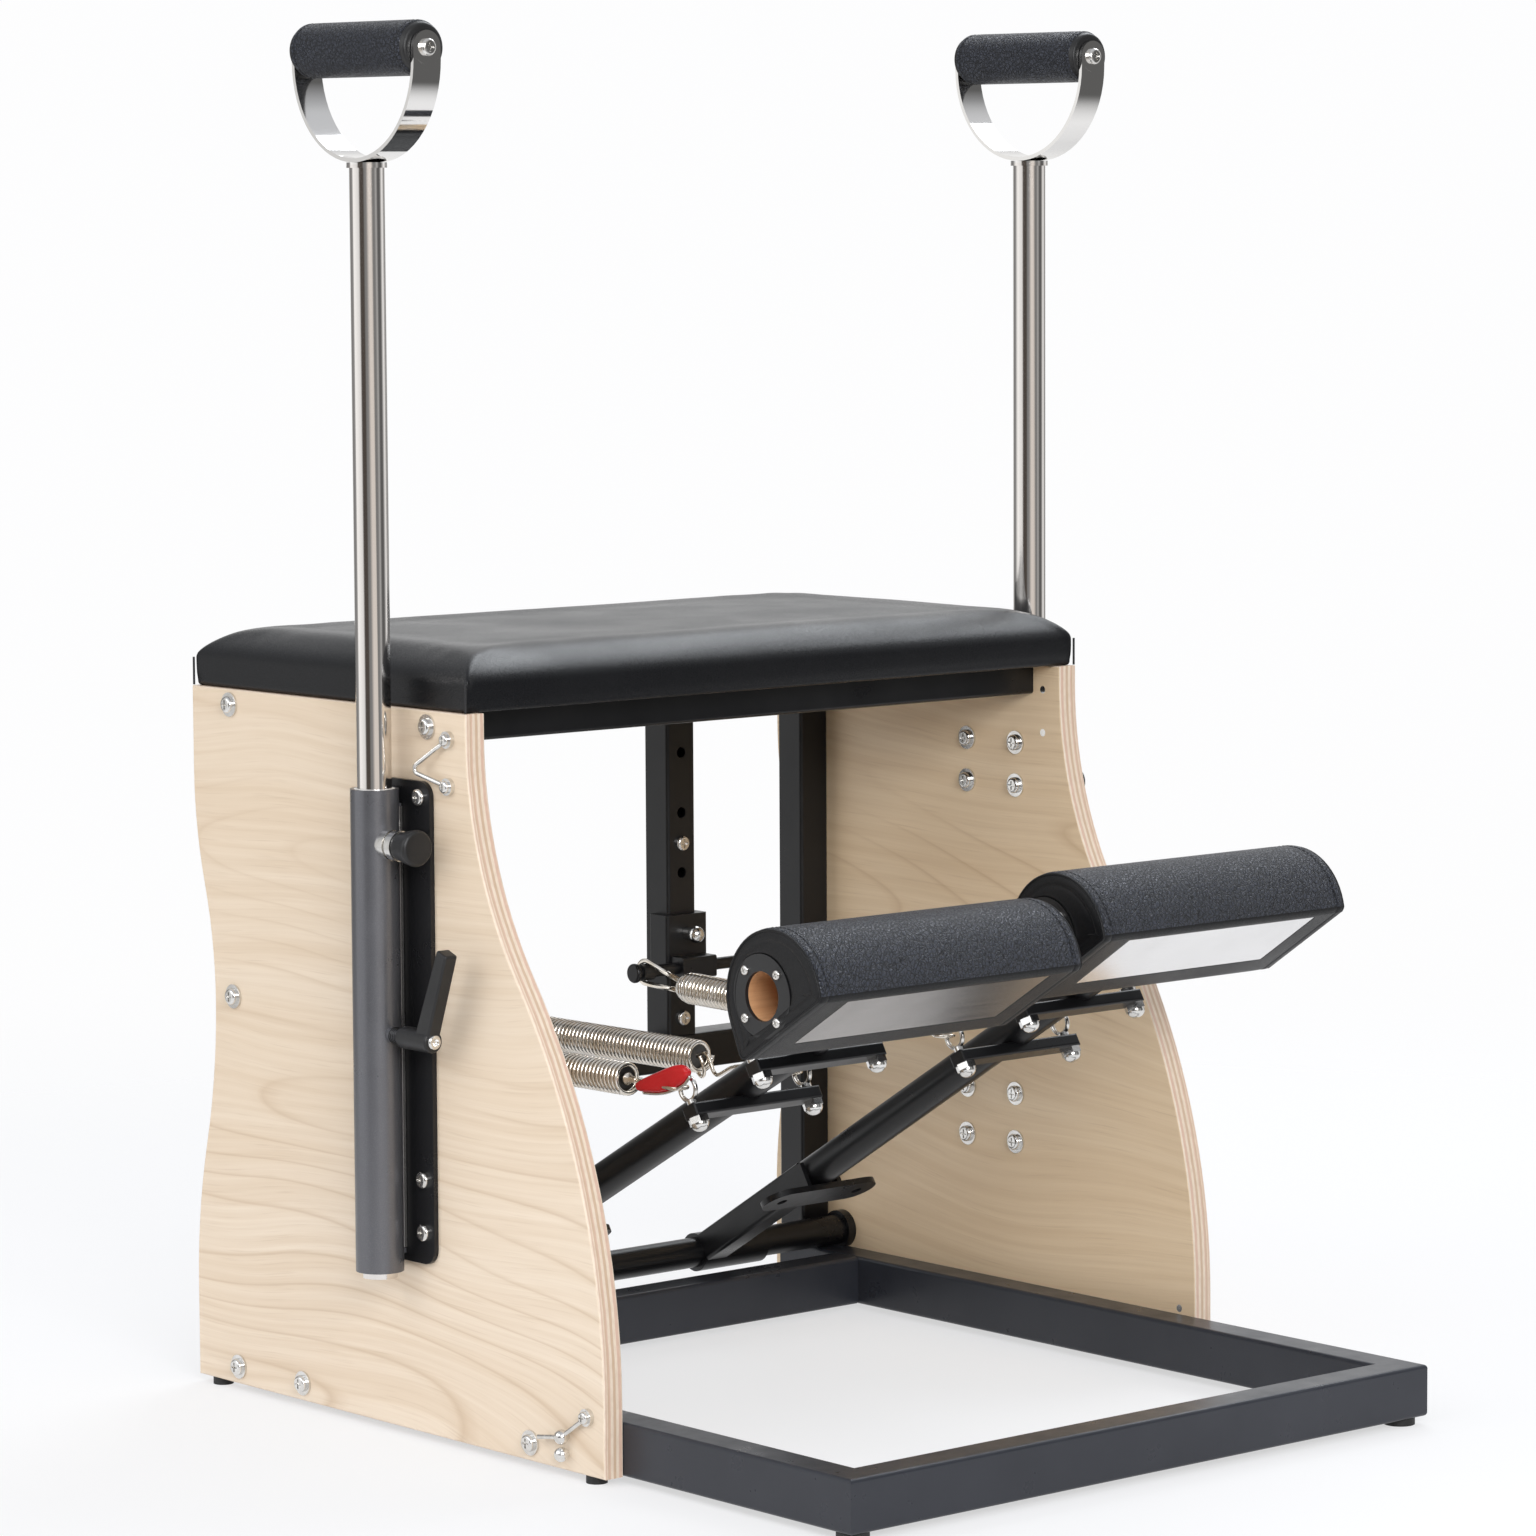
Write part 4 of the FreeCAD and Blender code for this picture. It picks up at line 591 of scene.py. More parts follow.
def seat_profile(inset):
    """Height of the cover above the seat's underside, by the distance in from its edge."""
    side = 0.45 * SEAT_HEIGHT
    if inset >= SEAT_ROLL:
        return SEAT_HEIGHT
    share = 1.0 - inset / SEAT_ROLL
    return side + (SEAT_HEIGHT - side) * (1.0 - share ** 2.25) ** (1 / 1.8)


def seat_stations(low, high, middle_count):
    """Grid lines that crowd together over the rolled edges."""
    steps = 14
    roll = [SEAT_ROLL * (1.0 - math.cos(math.pi / 2 * i / steps)) for i in range(steps)]
    inner = [SEAT_ROLL + (high - low - 2 * SEAT_ROLL) * i / middle_count for i in range(middle_count + 1)]
    return [low + d for d in roll] + [low + d for d in inner] + [high - d for d in reversed(roll)]


def soft_min(a, b, reach):
    """Smaller of two values, with the step between them rounded off."""
    gap = max(reach - abs(a - b), 0.0) / reach
    return min(a, b) - gap * gap * reach / 4


def seat_point(x, y):
    """Point on the cover's upper side: rolled edges, mitred corners and a slight crown."""
    dx = min(x + SEAT_HALF_X, SEAT_HALF_X - x)
    dy = min(y - SEAT_FRONT_Y, SEAT_REAR_Y - y)
    reach = 0.0012 + 0.020 * min(1.0, min(dx, dy) / SEAT_ROLL) ** 1.5
    height = soft_min(seat_profile(dx), seat_profile(dy), reach)
    crown = SEAT_CROWN * math.cos(math.pi * x / (2.2 * SEAT_HALF_X))
    crown *= math.sin(math.pi * (y - SEAT_FRONT_Y) / (SEAT_REAR_Y - SEAT_FRONT_Y))
    px, py = x, y
    if dx < SEAT_CORNER and dy < SEAT_CORNER:
        a, b = 1.0 - dx / SEAT_CORNER, 1.0 - dy / SEAT_CORNER
        inner_x = SEAT_HALF_X - SEAT_CORNER
        px = math.copysign(inner_x + SEAT_CORNER * a * math.sqrt(1 - b * b / 2), x)
        edge = SEAT_CORNER * b * math.sqrt(1 - a * a / 2) - SEAT_CORNER
        py = SEAT_FRONT_Y - edge if y - SEAT_FRONT_Y < SEAT_CORNER else SEAT_REAR_Y + edge
    return Vector((px, py, SEAT_LOW_Z + height + max(crown, 0.0)))


def seat_rim(wide, deep):
    """Indices round the edge of the upper side, from the front left corner."""
    last = deep - 1
    rim = list(range(wide))
    rim += [row * wide + wide - 1 for row in range(1, deep)]
    rim += [last * wide + col for col in range(wide - 2, -1, -1)]
    return rim + [row * wide for row in range(last - 1, 0, -1)]


def make_seat():
    xs = seat_stations(-SEAT_HALF_X, SEAT_HALF_X, 44)
    ys = seat_stations(SEAT_FRONT_Y, SEAT_REAR_Y, 22)
    points = [seat_point(x, y) for y in ys for x in xs]
    wide = len(xs)
    faces = []
    for row in range(len(ys) - 1):
        for col in range(wide - 1):
            a = row * wide + col
            faces.append((a, a + 1, a + wide + 1, a + wide))
    rim = seat_rim(wide, len(ys))
    outward = []
    for i in range(len(rim)):
        along = points[rim[(i + 1) % len(rim)]] - points[rim[i - 1]]
        outward.append(Vector((along.y, -along.x, 0.0)).normalized())
    top = [points[i].copy() for i in rim]

    # Side walls as (share of the height, draw inward), tucked under at the bottom
    walls = ((0.36, 0.0), (0.27, 0.0001), (0.18, 0.0004), (0.10, 0.0012), (0.045, 0.0024),
             (0.012, 0.0042), (0.0, 0.0075), (0.0, 0.016))
    ring, pinned = rim, []
    for share, draw in walls:
        fresh = []
        z = SEAT_LOW_Z + share * SEAT_HEIGHT
        for point, out in zip(top, outward):
            fresh.append(len(points))
            points.append(Vector((point.x - out.x * draw, point.y - out.y * draw, z)))
        if share <= 0.012:
            pinned += fresh
        for i in range(len(rim)):
            j = (i + 1) % len(rim)
            faces.append((ring[j], ring[i], fresh[i], fresh[j]))
        ring = fresh
    faces.append(tuple(ring))
    cushion = new_piece("seat_cover", points, faces, "seat_vinyl")
    settle(cushion, pinned, 3.0, 0.0022)
    for vertex in cushion.data.vertices:
        co = vertex.co
        if co.z > SEAT_LOW_Z + 0.02:
            wave = noise.noise(Vector((co.x * 7.0, co.y * 9.0, 3.1))) * 0.0007
            vertex.co.z += wave + noise.noise(Vector((co.x * 21.0, co.y * 24.0, 8.3))) * 0.0002
    subdivide(cushion)
    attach(cushion, "frame")
    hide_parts("seat_cushion")
    make_seat_seams()


def make_seat_seams():
    """Thin welt down each of the cover's four corners."""
    set_in, steps = 0.00125, 15
    seams = []
    for sx in (-1, 1):
        for edge_y, sy in ((SEAT_FRONT_Y, -1), (SEAT_REAR_Y, 1)):
            x, y = sx * (SEAT_HALF_X - set_in), edge_y - sy * set_in
            heights = [0.012 + step / steps * 0.46 for step in range(steps + 1)]
            line = [(x, y, SEAT_LOW_Z + height * SEAT_HEIGHT) for height in heights]
            seams.append(tube_mesh(line, 0.0009, 8))
    seam = new_piece("seat_corner_seams", *joined(seams), "seat_vinyl")
    seam.data.materials[0] = THREAD
    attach(seam, "frame")


# Pedal pads

def pedal_outline():
    """Closed D outline about the pad's axis as (depth, height) points, and the depths of the plate's edges."""
    half = PEDAL_FLAT + PEDAL_ROUND.y
    front = PEDAL_ROUND.x - math.sqrt(PEDAL_RADIUS ** 2 - half ** 2)
    corner_angle = math.atan2(-half, front - PEDAL_ROUND.x) + 2 * math.pi
    lip = Vector((PEDAL_TIP, -PEDAL_FLAT))
    reach = lip - PEDAL_ROUND
    leave = math.atan2(reach.y, reach.x) + math.acos(PEDAL_RADIUS / reach.length)
    plate_low = front + PLATE_FRONT_INSET
    plate_high = plate_low + PLATE_WIDTH
    edge = 0.0003
    under = [front + 0.0030, front + 0.0045, plate_low - edge, plate_low, plate_low + edge]
    under += [plate_low + (plate_high - plate_low) * i / 8 for i in range(1, 8)]
    under += [plate_high - edge, plate_high, plate_high + edge]
    under += [(plate_high + PEDAL_TIP) / 2, PEDAL_TIP - 0.006]
    outline = [(u, -PEDAL_FLAT) for u in under]
    away = PEDAL_ROUND + Vector((math.cos(leave), math.sin(leave))) * PEDAL_RADIUS
    up = (away - lip).normalized()
    outline += [tuple(lip + up * 0.0022 + Vector((-0.0018, 0.0004))), tuple(lip + up * 0.007)]
    span = (away - lip).length
    outline += [tuple(lip + up * (span * i / 4)) for i in (1, 2, 3)]
    turns = 34
    for i in range(turns + 1):
        angle = leave + (corner_angle - 0.055 - leave) * i / turns
        outline.append(tuple(PEDAL_ROUND + Vector((math.cos(angle), math.sin(angle))) * PEDAL_RADIUS))
    outline.append((front + 0.0004, -PEDAL_FLAT + 0.0012))
    return outline, (plate_low, plate_high)


def inward(outline, inset):
    """Outline moved in along its own normals."""
    moved = []
    count = len(outline)
    for i in range(count):
        a = Vector(outline[i - 1])
        b = Vector(outline[(i + 1) % count])
        along = (b - a).normalized()
        moved.append((outline[i][0] - along.y * inset, outline[i][1] + along.x * inset))
    return moved


def on_pedal(name, point):
    """From a pad's own frame to the chair, with the pad tilted about its axis."""
    turned = Matrix.Rotation(-PEDAL_PITCHES[name], 3, "X") @ Vector(point)
    if name == "left":
        turned.x = -turned.x
    return turned + PEDAL_CENTRES[name]


def pad_stations(plate_low_x, plate_high_x):
    """Places along a pad as (x, inset): rounded ends with a sewn groove, and lines at the plate's ends."""
    ends = ((0.0, 0.0042), (0.0006, 0.0022), (0.0018, 0.0008), (0.0036, 0.0), (0.0075, 0.0),
            (0.0082, 0.0006), (0.0090, 0.0006), (0.0097, 0.0))
    edge = 0.0003
    span = plate_high_x - plate_low_x
    xs = [plate_low_x - edge, plate_low_x, plate_low_x + edge]
    xs += [plate_low_x + span * i / 30 for i in range(1, 30)]
    xs += [plate_high_x - edge, plate_high_x, plate_high_x + edge]
    stations = [(PEDAL_INNER_X + d, inset) for d, inset in ends] + [(x, 0.0) for x in xs]
    return stations + [(PEDAL_OUTER_X - d, inset) for d, inset in reversed(ends)]


def pad_skin():
    """Points and faces of a right pad's cover about its own axis, and the points held while it settles."""
    outline, (plate_low, plate_high) = pedal_outline()
    count = len(outline)
    plate_low_x, plate_high_x = PEDAL_INNER_X + PLATE_END_INSET, PEDAL_OUTER_X - PLATE_END_INSET
    stations = pad_stations(plate_low_x, plate_high_x)
    points, faces, pinned = [], [], []
    for x, inset in stations:
        for u, v in inward(outline, inset):
            lift = 0.0
            under = v < -PEDAL_FLAT + 0.0009
            if under and plate_low_x < x < plate_high_x and plate_low < u < plate_high:
                lift = PLATE_THICKNESS + 0.0002
            sewn_end = x < PEDAL_INNER_X + 0.011 or x > PEDAL_OUTER_X - 0.011
            if v < -PEDAL_FLAT + 0.003 or sewn_end:
                pinned.append(len(points))
            points.append((x, u, v + lift))
    for row in range(len(stations) - 1):
        for i in range(count):
            a, b = row * count + i, row * count + (i + 1) % count
            faces.append((a, a + count, b + count, b))
    for row, deep in ((0, 1), (len(stations) - 1, -1)):
        base = [row * count + i for i in range(count)]
        pinned += base
        faces += pad_end(points, base, outline, stations[row][0], deep)
    pinned += range(len(stations) * count, len(points))
    return points, faces, pinned


def pad_end(points, base, outline, x0, deep):
    """Adds a pad's end to the points: a welted rim, a face down to the end disc, and a turned-in edge."""
    faces = []

    def ring(places):
        nonlocal base
        fresh = list(range(len(points), len(points) + len(places)))
        points.extend(places)
        faces.extend(band(base, fresh, deep))
        base = fresh

    for inset, sink in ((0.0077, 0.0006), (0.0092, -0.0004), (0.0108, -0.0004), (0.0120, 0.0002)):
        ring([(x0 - deep * sink, u, v) for u, v in inward(outline, inset)])
    face = [points[i] for i in base]
    opening = DISC_RADIUS + 0.0002
    for shrink in (0.55, 1.0):
        factors = [(1 - shrink) + shrink * opening / math.hypot(u, v) for _, u, v in face]
        ring([(x0, u * factor, v * factor) for (_, u, v), factor in zip(face, factors)])
    ring([(x0 + deep * 0.0026, points[i][1], points[i][2]) for i in base])
    return faces


def make_pedal(name, side):
    points, faces, pinned = pad_skin()
    placed = [on_pedal(name, p) for p in points]
    if side < 0:
        faces = [tuple(reversed(face)) for face in faces]
    pad = new_piece(name + "_pedal_cover", placed, faces, "pedal_vinyl")
    pad.data.materials.append(SMOOTH_HIDE)
    for polygon in pad.data.polygons:
        corners = [points[i] for i in polygon.vertices]
        flat = all(p[2] < -PEDAL_FLAT + 0.0040 for p in corners)
        end = all(min(p[0] - PEDAL_INNER_X, PEDAL_OUTER_X - p[0]) < 0.0030 for p in corners)
        polygon.material_index = 1 if flat or end else 0
    settle(pad, sorted(set(pinned)), 2.0, 0.0012)
    subdivide(pad)
    body = name + "_pedal"
    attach(pad, body)
    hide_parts(name + "_pedal_pad")
    make_pad_trim(name, body)


def make_pad_trim(name, body):
    """Stitches in the groove near each end of a pad, and piping round its end edges."""
    outline = pedal_outline()[0]
    count = len(outline)
    threads, cords = [], []
    arc = [i for i in range(count) if outline[i][1] > -PEDAL_FLAT + 0.006]
    groove = inward(outline, 0.0005)
    for x in (PEDAL_INNER_X + 0.0086, PEDAL_OUTER_X - 0.0086):
        line = [on_pedal(name, (x, *groove[i])) for i in arc]
        out = []
        for i in arc:
            a, b = Vector(outline[i - 1]), Vector(outline[(i + 1) % count])
            along = (b - a).normalized()
            out.append(on_pedal(name, (0, along.y, -along.x)) - PEDAL_CENTRES[name])
        threads += stitch_parts(line, out, 0.0044, 0.0031, 0.00034)
    for x in (PEDAL_INNER_X + 0.0009, PEDAL_OUTER_X - 0.0009):
        loop = [on_pedal(name, (x, u, v)) for u, v in inward(outline, 0.0019)]
        cords.append(tube_mesh(loop + loop[:2], 0.0011, 8, False))
    sewn = new_piece(name + "_pedal_stitches", *joined(threads), "pedal_vinyl")
    sewn.data.materials[0] = THREAD
    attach(sewn, body)
    piping = new_piece(name + "_pedal_piping", *joined(cords), "pedal_vinyl")
    piping.data.materials[0] = SMOOTH_HIDE
    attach(piping, body)


# Grips

def make_grip(name, side):
    """Padded sleeve with a sewn edge near each end and a dark cap inside it."""
    turns = 48
    profile = [(0.0, 0.0110), (0.0, 0.0166), (0.0007, 0.0179), (0.0021, 0.0186), (0.0042, 0.0188),
               (0.0046, 0.0192), (0.0049, 0.0199), (0.0058, 0.0205), (0.0082, 0.0206), (0.0088, 0.0201),
               (0.0094, 0.0201), (0.0100, 0.0206), (0.0200, 0.0206), (0.0330, 0.0206), (0.0470, 0.0206),
               (0.0600, 0.0206)]
    half = GRIP_HALF
    stations = [(-half + d, r) for d, r in profile] + [(half - d, r) for d, r in reversed(profile)]
    points, faces = [], []
    centre = Vector((side * SOCKET_X, SOCKET_Y, GRIP_Z))
    for along, radius in stations:
        for angle in angles(turns):
            soft = 1.0 - 0.006 * max(0.0, math.sin(angle)) if radius > 0.02 else 1.0
            spoke = Vector((radius * soft * math.cos(angle), along, radius * soft * math.sin(angle)))
            points.append(centre + spoke)
    for ring in range(len(stations) - 1):
        for step in range(turns):
            a = ring * turns + step
            b = ring * turns + (step + 1) % turns
            faces.append((a, a + turns, b + turns, b))
    faces.append(tuple(range(turns)))
    faces.append(tuple(len(points) - 1 - step for step in range(turns)))
    grip = new_piece(name + "_grip_cover", points, faces, "pedal_vinyl")
    grip.data.materials.append(FINISHES["black_plastic"])
    for polygon in grip.data.polygons:
        if abs(polygon.center.y - SOCKET_Y) > half - 0.0047:
            polygon.material_index = 1
    fixed = [i for i, p in enumerate(points) if abs(p.y - SOCKET_Y) > half - 0.011]
    settle(grip, fixed, 1.5, 0.0008)
    subdivide(grip)
    body = name + "_handle"
    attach(grip, body)
    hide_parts(name + "_handle_grip")
    threads = []
    for end in (-1, 1):
        line, out = [], []
        for step in range(turns + 1):
            angle = 2 * math.pi * step / turns
            spoke = Vector((math.cos(angle), 0.0, math.sin(angle)))
            line.append(centre + spoke * 0.0200 + Vector((0.0, end * (half - 0.0091), 0.0)))
            out.append(spoke)
        threads += stitch_parts(line, out, 0.0040, 0.0028, 0.0003)
    sewn = new_piece(name + "_grip_stitches", *joined(threads), "pedal_vinyl")
    sewn.data.materials[0] = THREAD
    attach(sewn, body)


# Springs

def along_spring(name, x, distance, across=0.0, up=0.0):
    """Point beside a spring's own line, measured forward from under the rear hook rod."""
    drop, tilt, _ = SPRING_LINES[name]
    forward = Vector((0.0, -math.cos(tilt), -math.sin(tilt)))
    above = Vector((0.0, -math.sin(tilt), math.cos(tilt)))
    return SPRING_ROD + Vector((x + across, 0.0, 0.0)) + forward * distance + above * (up - drop)


def make_spring(name, side, index):
    """Coil that swells from a neck at the rear and stays open at full width in front."""
    x = side * SPRING_XS[index]
    steps = 20
    front = SPRING_LINES[name][2] - HOOK_REACHES[index]
    turns = round((front - COIL_REAR) / COIL_PITCH)
    line = []
    for i in range(turns * steps + 1):
        angle = 2 * math.pi * i / steps
        run = COIL_REAR + (front - COIL_REAR) * i / (turns * steps)
        close = min((run - COIL_REAR) / (COIL_FULL - COIL_REAR), 1.0)
        radius = COIL_NECK + (COIL_RADIUS - COIL_NECK) * math.sin(close * math.pi / 2) ** 0.8
        line.append(along_spring(name, x, run, radius * math.cos(angle), radius * math.sin(angle)))
    spring = new_piece("%s_spring_%d" % (name, index + 1), *tube_mesh(line, COIL_WIRE, 8), "spring_steel")
    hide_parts(name + "_spring_coils")
    start = along_spring(name, x, COIL_REAR + 0.012)
    end = along_spring(name, x, front - 0.014)
    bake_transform(spring)


def make_link(name, x):
    """Stout wire loop round the roller on the hook rod, closing into the coil's neck."""
    drop = SPRING_LINES[name][0]
    radius, neck, half = 0.0094, 0.0470, 0.0036
    centre = Vector((0.0, drop))

    def tangent(point, way):
        run = centre - point
        heading = math.atan2(run.y, run.x) + way * math.asin(radius / run.length)
        reach = math.sqrt(run.length ** 2 - radius ** 2)
        return point + Vector((math.cos(heading), math.sin(heading))) * reach

    start, end = Vector((neck, half)), Vector((neck, -half))
    upper, lower = tangent(start, -1), tangent(end, 1)
    first = math.atan2(upper.y - centre.y, upper.x)
    last = math.atan2(lower.y - centre.y, lower.x) % (2 * math.pi)
    route = [start, upper.lerp(start, 0.5)]
    for step in range(19):
        angle = first + (last - first) * step / 18
        route.append(centre + Vector((math.cos(angle), math.sin(angle))) * radius)
    route += [lower.lerp(end, 0.5), end]
    return tube_mesh([along_spring(name, x, p.x, 0.0, p.y) for p in route], 0.0021, 10)


def make_links(name, side):
    """Both rear loops of one side, which swing with the springs."""
    loops = [make_link(name, side * x) for x in SPRING_XS]
    links = new_piece(name + "_link_wires", *joined(loops), "spring_steel")
    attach(links, name + "_spring_set")


def make_hooks(name, side):
    """Front wires: a plain one on the outer spring, and one with a kinked link on the inner spring."""
    length = SPRING_LINES[name][2]
    bend = length - HOOK_SET_IN
    r = HOOK_RADIUS
    through = [(0.0, bend - 0.0190), (-r * 0.5, bend - 0.0105), (-r, bend - 0.0030), (-r, bend),
               (-r * 0.71, bend + r * 0.71), (0.0, bend + r), (r * 0.71, bend + r * 0.71), (r, bend),
               (r, bend - 0.0050), (r * 0.97, bend - 0.0088)]
    parts = []
    for index, offset in enumerate(SPRING_XS):
        x = side * offset
        front = length - HOOK_REACHES[index]
        if index == 0:
            kinks = ((-0.010, 0.0), (-0.003, 0.0010), (0.003, 0.0030), (0.008, 0.0020), (0.0115, -0.0040),
                     (0.0150, -0.0105), (0.0200, -0.0120), (0.0270, -0.0090), (0.0380, -0.0040),
                     (0.0560, -0.0010), (0.0740, 0.0))
            tail = [(0.0035, 0.0045, 0.0015), (0.0065, 0.0035, -0.0055), (0.0055, 0.0020, -0.0125),
                    (0.0010, 0.0010, -0.0150), (-0.0035, 0.0005, -0.0125)]
            hooked = [along_spring(name, x, front + run, side * across, up) for run, across, up in tail]
            parts.append(tube_mesh(smooth_line(hooked), 0.00150, 10))
        else:
            kinks = ((-0.010, 0.0), (0.004, 0.0), (0.020, 0.0), (0.034, 0.0))
        wire = [along_spring(name, x, front + run, 0.0, up) for run, up in kinks]
        wire += [along_spring(name, x, run, side * across) for across, run in through]
        parts.append(tube_mesh(smooth_line(wire), HOOK_WIRE, 12))
        if index == 1:
            collar = [(0.0016, -0.0030), (0.0046, -0.0028), (0.0050, -0.0016), (0.0046, -0.0004),
                      (0.0030, 0.0010), (0.0026, 0.0060), (0.0022, 0.0085), (0.0016, 0.0092)]
            parts.append(lathe(collar, 20, lambda a, b, run: along_spring(name, x, front + run, a, b)))
    hooks = new_piece(name + "_hook_wires", *joined(parts), "spring_steel")
    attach(hooks, name + "_plug_set")
    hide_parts(name + "_spring_hooks")


def make_clip():
    """Glossy teardrop clip beside the outer left eye, with a bright gate along its lower edge."""
    middle_x = -0.1982
    outline = [(-0.0325, 0.2742), (-0.0360, 0.2772), (-0.0470, 0.2822), (-0.0590, 0.2869), (-0.0700, 0.2912),
               (-0.0790, 0.2940), (-0.0871, 0.2947), (-0.0928, 0.2918), (-0.0932, 0.2876), (-0.0869, 0.2814),
               (-0.0770, 0.2764), (-0.0666, 0.2728), (-0.0580, 0.2709), (-0.0491, 0.2699), (-0.0410, 0.2693),
               (-0.0345, 0.2700)]
    rim = [(p.x, p.y) for p in smooth_line([(y, z, 0.0) for y, z in outline], 4, True)]

    # Layers through the thickness, each shrunk toward a sloping spine
    half_layers = ((0.00325, 0.30), (0.00318, 0.52), (0.00290, 0.70), (0.00235, 0.85), (0.00140, 0.96))
    layers = [(-shift, share) for shift, share in half_layers] + [(0.0, 1.0)] + list(reversed(half_layers))
    middle_y = -0.063
    points, faces = [], []
    for shift, share in layers:
        for y, z in rim:
            spine = 0.2720 - 0.299 * (y + 0.0345)
            along = middle_y + (y - middle_y) * (0.85 + 0.15 * share)
            points.append((middle_x + shift, along, spine + (z - spine) * share))
    count = len(rim)
    for row in range(len(layers) - 1):
        base = [row * count + i for i in range(count)]
        faces += band(base, [i + count for i in base], -1)
    faces.append(tuple(range(count)))
    faces.append(tuple(len(points) - 1 - i for i in range(count)))
    clip = new_piece("left_clip_body", points, faces, "red_plastic")
    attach(clip, "left_plug_set")
    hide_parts("left_spring_clip")
    gate_line = ((-0.0400, 0.2684), (-0.0491, 0.2689), (-0.0580, 0.2699), (-0.0670, 0.2717),
                 (-0.0775, 0.2753), (-0.0877, 0.2805), (-0.0942, 0.2872))
    gate = [(middle_x, y, z) for y, z in gate_line]
    bar = new_piece("left_clip_gate", *tube_mesh(smooth_line(gate), 0.0012, 10), "zinc")
    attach(bar, "left_plug_set")


# Handle hardware

def make_clamp_screw(name, side):
    """Socket screw in the end of a clamp lever's hub, and the turned grooves of the boss behind it."""
    profile = [(0.0056, -0.0010), (0.0056, 0.0012), (0.0052, 0.0020), (0.0044, 0.0024), (0.0027, 0.0024),
               (0.0025, 0.0021), (0.0025, 0.0006), (0.0004, 0.0004)]

    def on_hub(a, b, rise):
        return Vector((side * SOCKET_X + a, CLAMP_FRONT_Y - rise, CLAMP_Z + b))

    screw = new_piece(name + "_clamp_screw", *lathe(profile, 24, on_hub), "zinc")
    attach(screw, name + "_clamp")
    rings = []
    for step in range(5):
        loop = []
        for turn in range(26):
            angle = 2 * math.pi * turn / 24
            loop.append((side * SOCKET_X + CLAMP_THREAD_RADIUS * math.cos(angle), 0.0759 + 0.0021 * step,
                         CLAMP_Z + CLAMP_THREAD_RADIUS * math.sin(angle)))
        rings.append(tube_mesh(loop, 0.0007, 8, False))
    thread = new_piece(name + "_clamp_thread", *joined(rings), "black_steel")
    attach(thread, "frame")


def make_socket_strip(name, side):
    """Bare metal strip on the web between a socket's tube and its flange plate."""
    low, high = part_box(name + "_handle_socket")
    near, far = SOCKET_PLATE_X - 0.0001, SOCKET_PLATE_X + 0.0031
    parts = []
    for face in (-1, 1):
        y = SOCKET_Y + face * 0.0071
        corners = []
        for inset, rise in ((0.0, 0.0), (0.0, 0.0004), (0.0004, 0.0007)):
            corners += [(side * (near + inset), y + face * rise, low[2] + 0.016 + inset),
                        (side * (far - inset), y + face * rise, low[2] + 0.016 + inset),
                        (side * (far - inset), y + face * rise, high[2] - 0.020 - inset),
                        (side * (near + inset), y + face * rise, high[2] - 0.020 - inset)]
        deep = side * face
        quads = band([0, 1, 2, 3], [4, 5, 6, 7], deep) + band([4, 5, 6, 7], [8, 9, 10, 11], deep)
        ends = [(3, 2, 1, 0), (8, 9, 10, 11)]
        parts.append((corners, quads + (ends if deep > 0 else [tuple(reversed(e)) for e in ends])))
    strip = new_piece(name + "_socket_strip", *joined(parts), "aluminium", smooth=False)
    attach(strip, "frame")


make_seat()
for side_name, side_sign in SIDES:
    make_pedal(side_name, side_sign)
    make_grip(side_name, side_sign)
    make_links(side_name, side_sign)
    make_hooks(side_name, side_sign)
    make_clamp_screw(side_name, side_sign)
    make_socket_strip(side_name, side_sign)
    for number in range(len(SPRING_XS)):
        make_spring(side_name, side_sign, number)
make_clip()


# Studio

def make_stage():
    """Pale floor that keeps the shadow near the chair and fades out into the backdrop."""
    turns, radius = 96, 3.4
    rim = [(radius * math.cos(angle), radius * math.sin(angle), 0.0) for angle in angles(turns)]
    mesh = bpy.data.meshes.new("studio_floor")
    mesh.from_pydata(rim, [], [tuple(range(turns))])
    floor = bpy.data.objects.new("studio_floor", mesh)
    bpy.context.scene.collection.objects.link(floor)
    f = Finish("studio_floor", Base_Color=(0.86, 0.86, 0.87), Roughness=0.8, Specular_IOR_Level=0.1)
    path = f.node("LightPath").outputs
    seen = f.math("MAXIMUM", path["Is Camera Ray"], f.math("MAXIMUM", path["Is Glossy Ray"],
                                                           path["Is Transmission Ray"]))
    glow = f.node("Emission", {"Color": BACKDROP_WHITE, "Strength": 1.0})
    lit = f.node("MixShader", {0: f.math("MULTIPLY", seen, 0.62), 1: f.shader.outputs[0], 2: glow.outputs[0]})
    reach = f.node("VectorMath", {0: f.coords}, operation="LENGTH").outputs["Value"]
    fade = {"Value": reach, "From Min": 0.9, "From Max": 2.6}
    gone = f.node("MapRange", fade, interpolation_type="SMOOTHSTEP")
    clear = f.node("BsdfTransparent")
    blend = f.node("MixShader", {0: gone.outputs["Result"], 1: lit.outputs[0], 2: clear.outputs[0]})
    f.tree.links.new(blend.outputs[0], f.output.inputs["Surface"])
    mesh.materials.append(f.material)


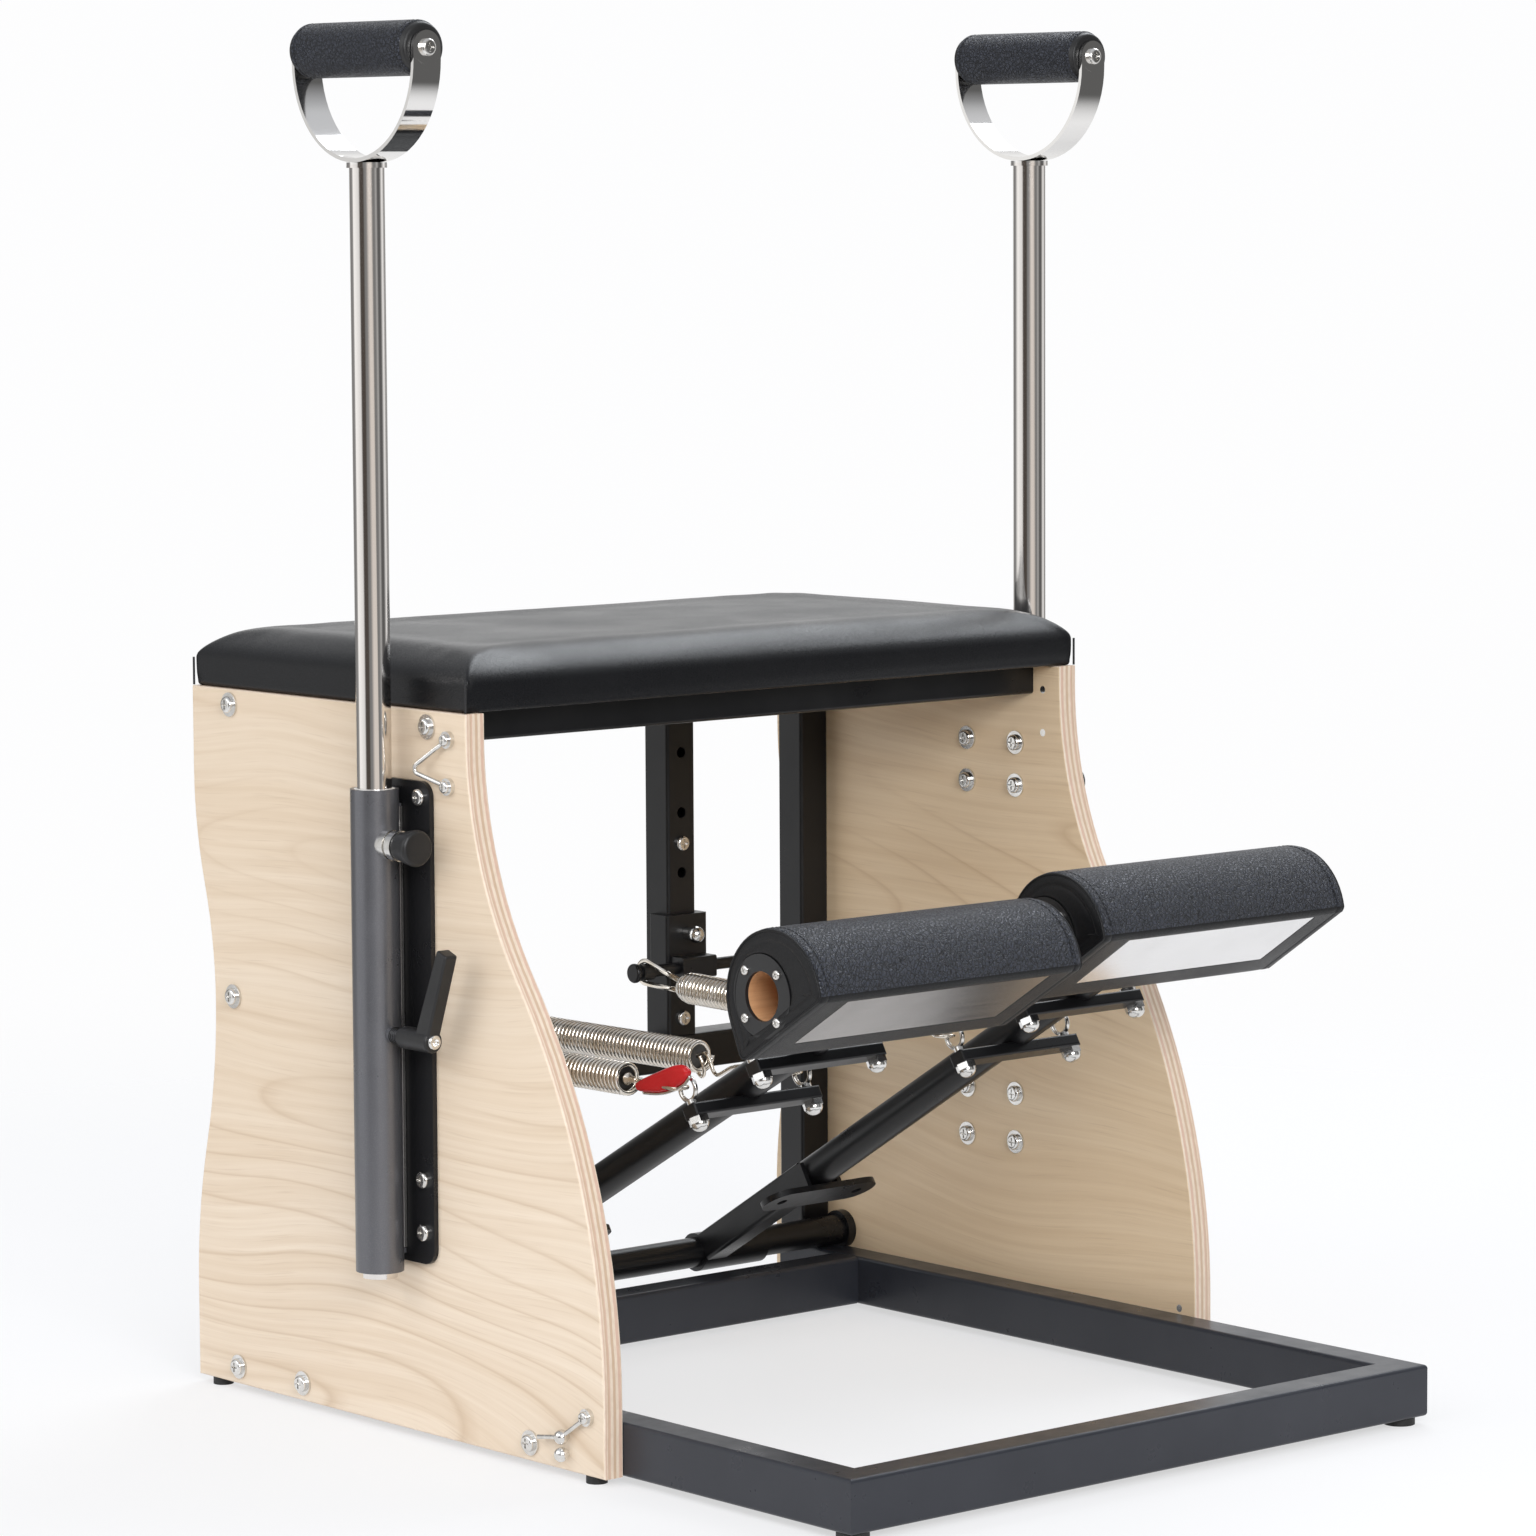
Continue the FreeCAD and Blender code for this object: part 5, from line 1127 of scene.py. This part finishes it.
def make_world():
    """White backdrop for the camera; bright screens and dark flags stand round the chair for the metal."""
    world = bpy.data.worlds.new("studio")
    bpy.context.scene.world = world
    world.use_nodes = True
    n = Nodes(world.node_tree, "Generated")
    x, y, z = n.axes()
    turned = n.math("WRAP", n.math("SUBTRACT", n.math("ARCTAN2", y, x), CAMERA_AZIMUTH), -math.pi, math.pi)
    share = n.span(turned, -math.pi, math.pi)
    dark, warm = (0.105, 0.090, 0.080), (0.970, 0.900, 0.840)
    # Degrees round from the camera's side of the chair, viewer's left below zero, and how bright it is there
    screens = ((-180, 1.20), (-166, 1.10), (-142, 0.28), (-118, 0.34), (-92, 1.40), (-54, 1.08),
               (-45, dark), (-22, dark), (-16, 0.28), (-3, 0.32), (12, warm), (26, warm),
               (38, 0.28), (50, 0.28), (62, 0.60), (74, 0.16), (92, 0.16), (114, 1.30),
               (132, 0.60), (148, 0.28), (168, 1.10), (180, 1.20))
    walls = n.ramp(share, [((degrees + 180) / 360, value) for degrees, value in screens])
    room = n.mix(n.span(z, 0.35, 0.75), walls, (0.79, 0.81, 0.85))
    studio = n.node("Background", {"Color": room, "Strength": 0.80})
    white = n.node("Background", {"Color": BACKDROP_WHITE, "Strength": 1.0})
    path = n.node("LightPath").outputs
    seen = n.math("MAXIMUM", path["Is Camera Ray"], path["Is Transmission Ray"])
    blend = n.node("MixShader", {0: seen, 1: studio.outputs[0], 2: white.outputs[0]})
    output = n.node("OutputWorld")
    n.tree.links.new(blend.outputs[0], output.inputs["Surface"])


def softbox(name, place, target, size, power, color=LAMP_WHITE):
    """Rectangular lamp aimed at a point."""
    light = bpy.data.lights.new(name, "AREA")
    light.shape = "RECTANGLE"
    light.size, light.size_y = size
    light.energy = power
    light.color = color
    lamp = bpy.data.objects.new(name, light)
    lamp.location = place
    lamp.rotation_euler = (Vector(target) - Vector(place)).to_track_quat("-Z", "Y").to_euler()
    bpy.context.scene.collection.objects.link(lamp)


def make_camera():
    data = bpy.data.cameras.new("photo_camera")
    data.sensor_width = 36.0
    data.lens = CAMERA_LENS
    data.clip_end = 100.0
    camera = bpy.data.objects.new("photo_camera", data)
    aim = (CAMERA_TARGET - CAMERA_EYE).to_track_quat("-Z", "Y").to_matrix()
    turn = (aim @ Matrix.Rotation(CAMERA_ROLL, 3, "Z")).to_4x4()
    camera.matrix_world = Matrix.Translation(CAMERA_EYE) @ turn
    bpy.context.scene.collection.objects.link(camera)
    bpy.context.scene.camera = camera


make_stage()
make_world()
softbox("key_left", (-3.7, 0.3, 2.5), (0.0, 0.0, 0.45), (4.2, 2.4), 48.0)
softbox("top_right", (2.3, 0.9, 3.2), (0.0, 0.1, 0.45), (2.6, 1.6), 62.0, (0.92, 0.96, 1.0))
softbox("front", (-1.85, -3.55, 2.0), (0.1, 0.0, 0.35), (2.4, 1.4), 116.0)
make_camera()
bpy.context.scene.view_settings.view_transform = "Standard"

bpy.context.view_layer.update()
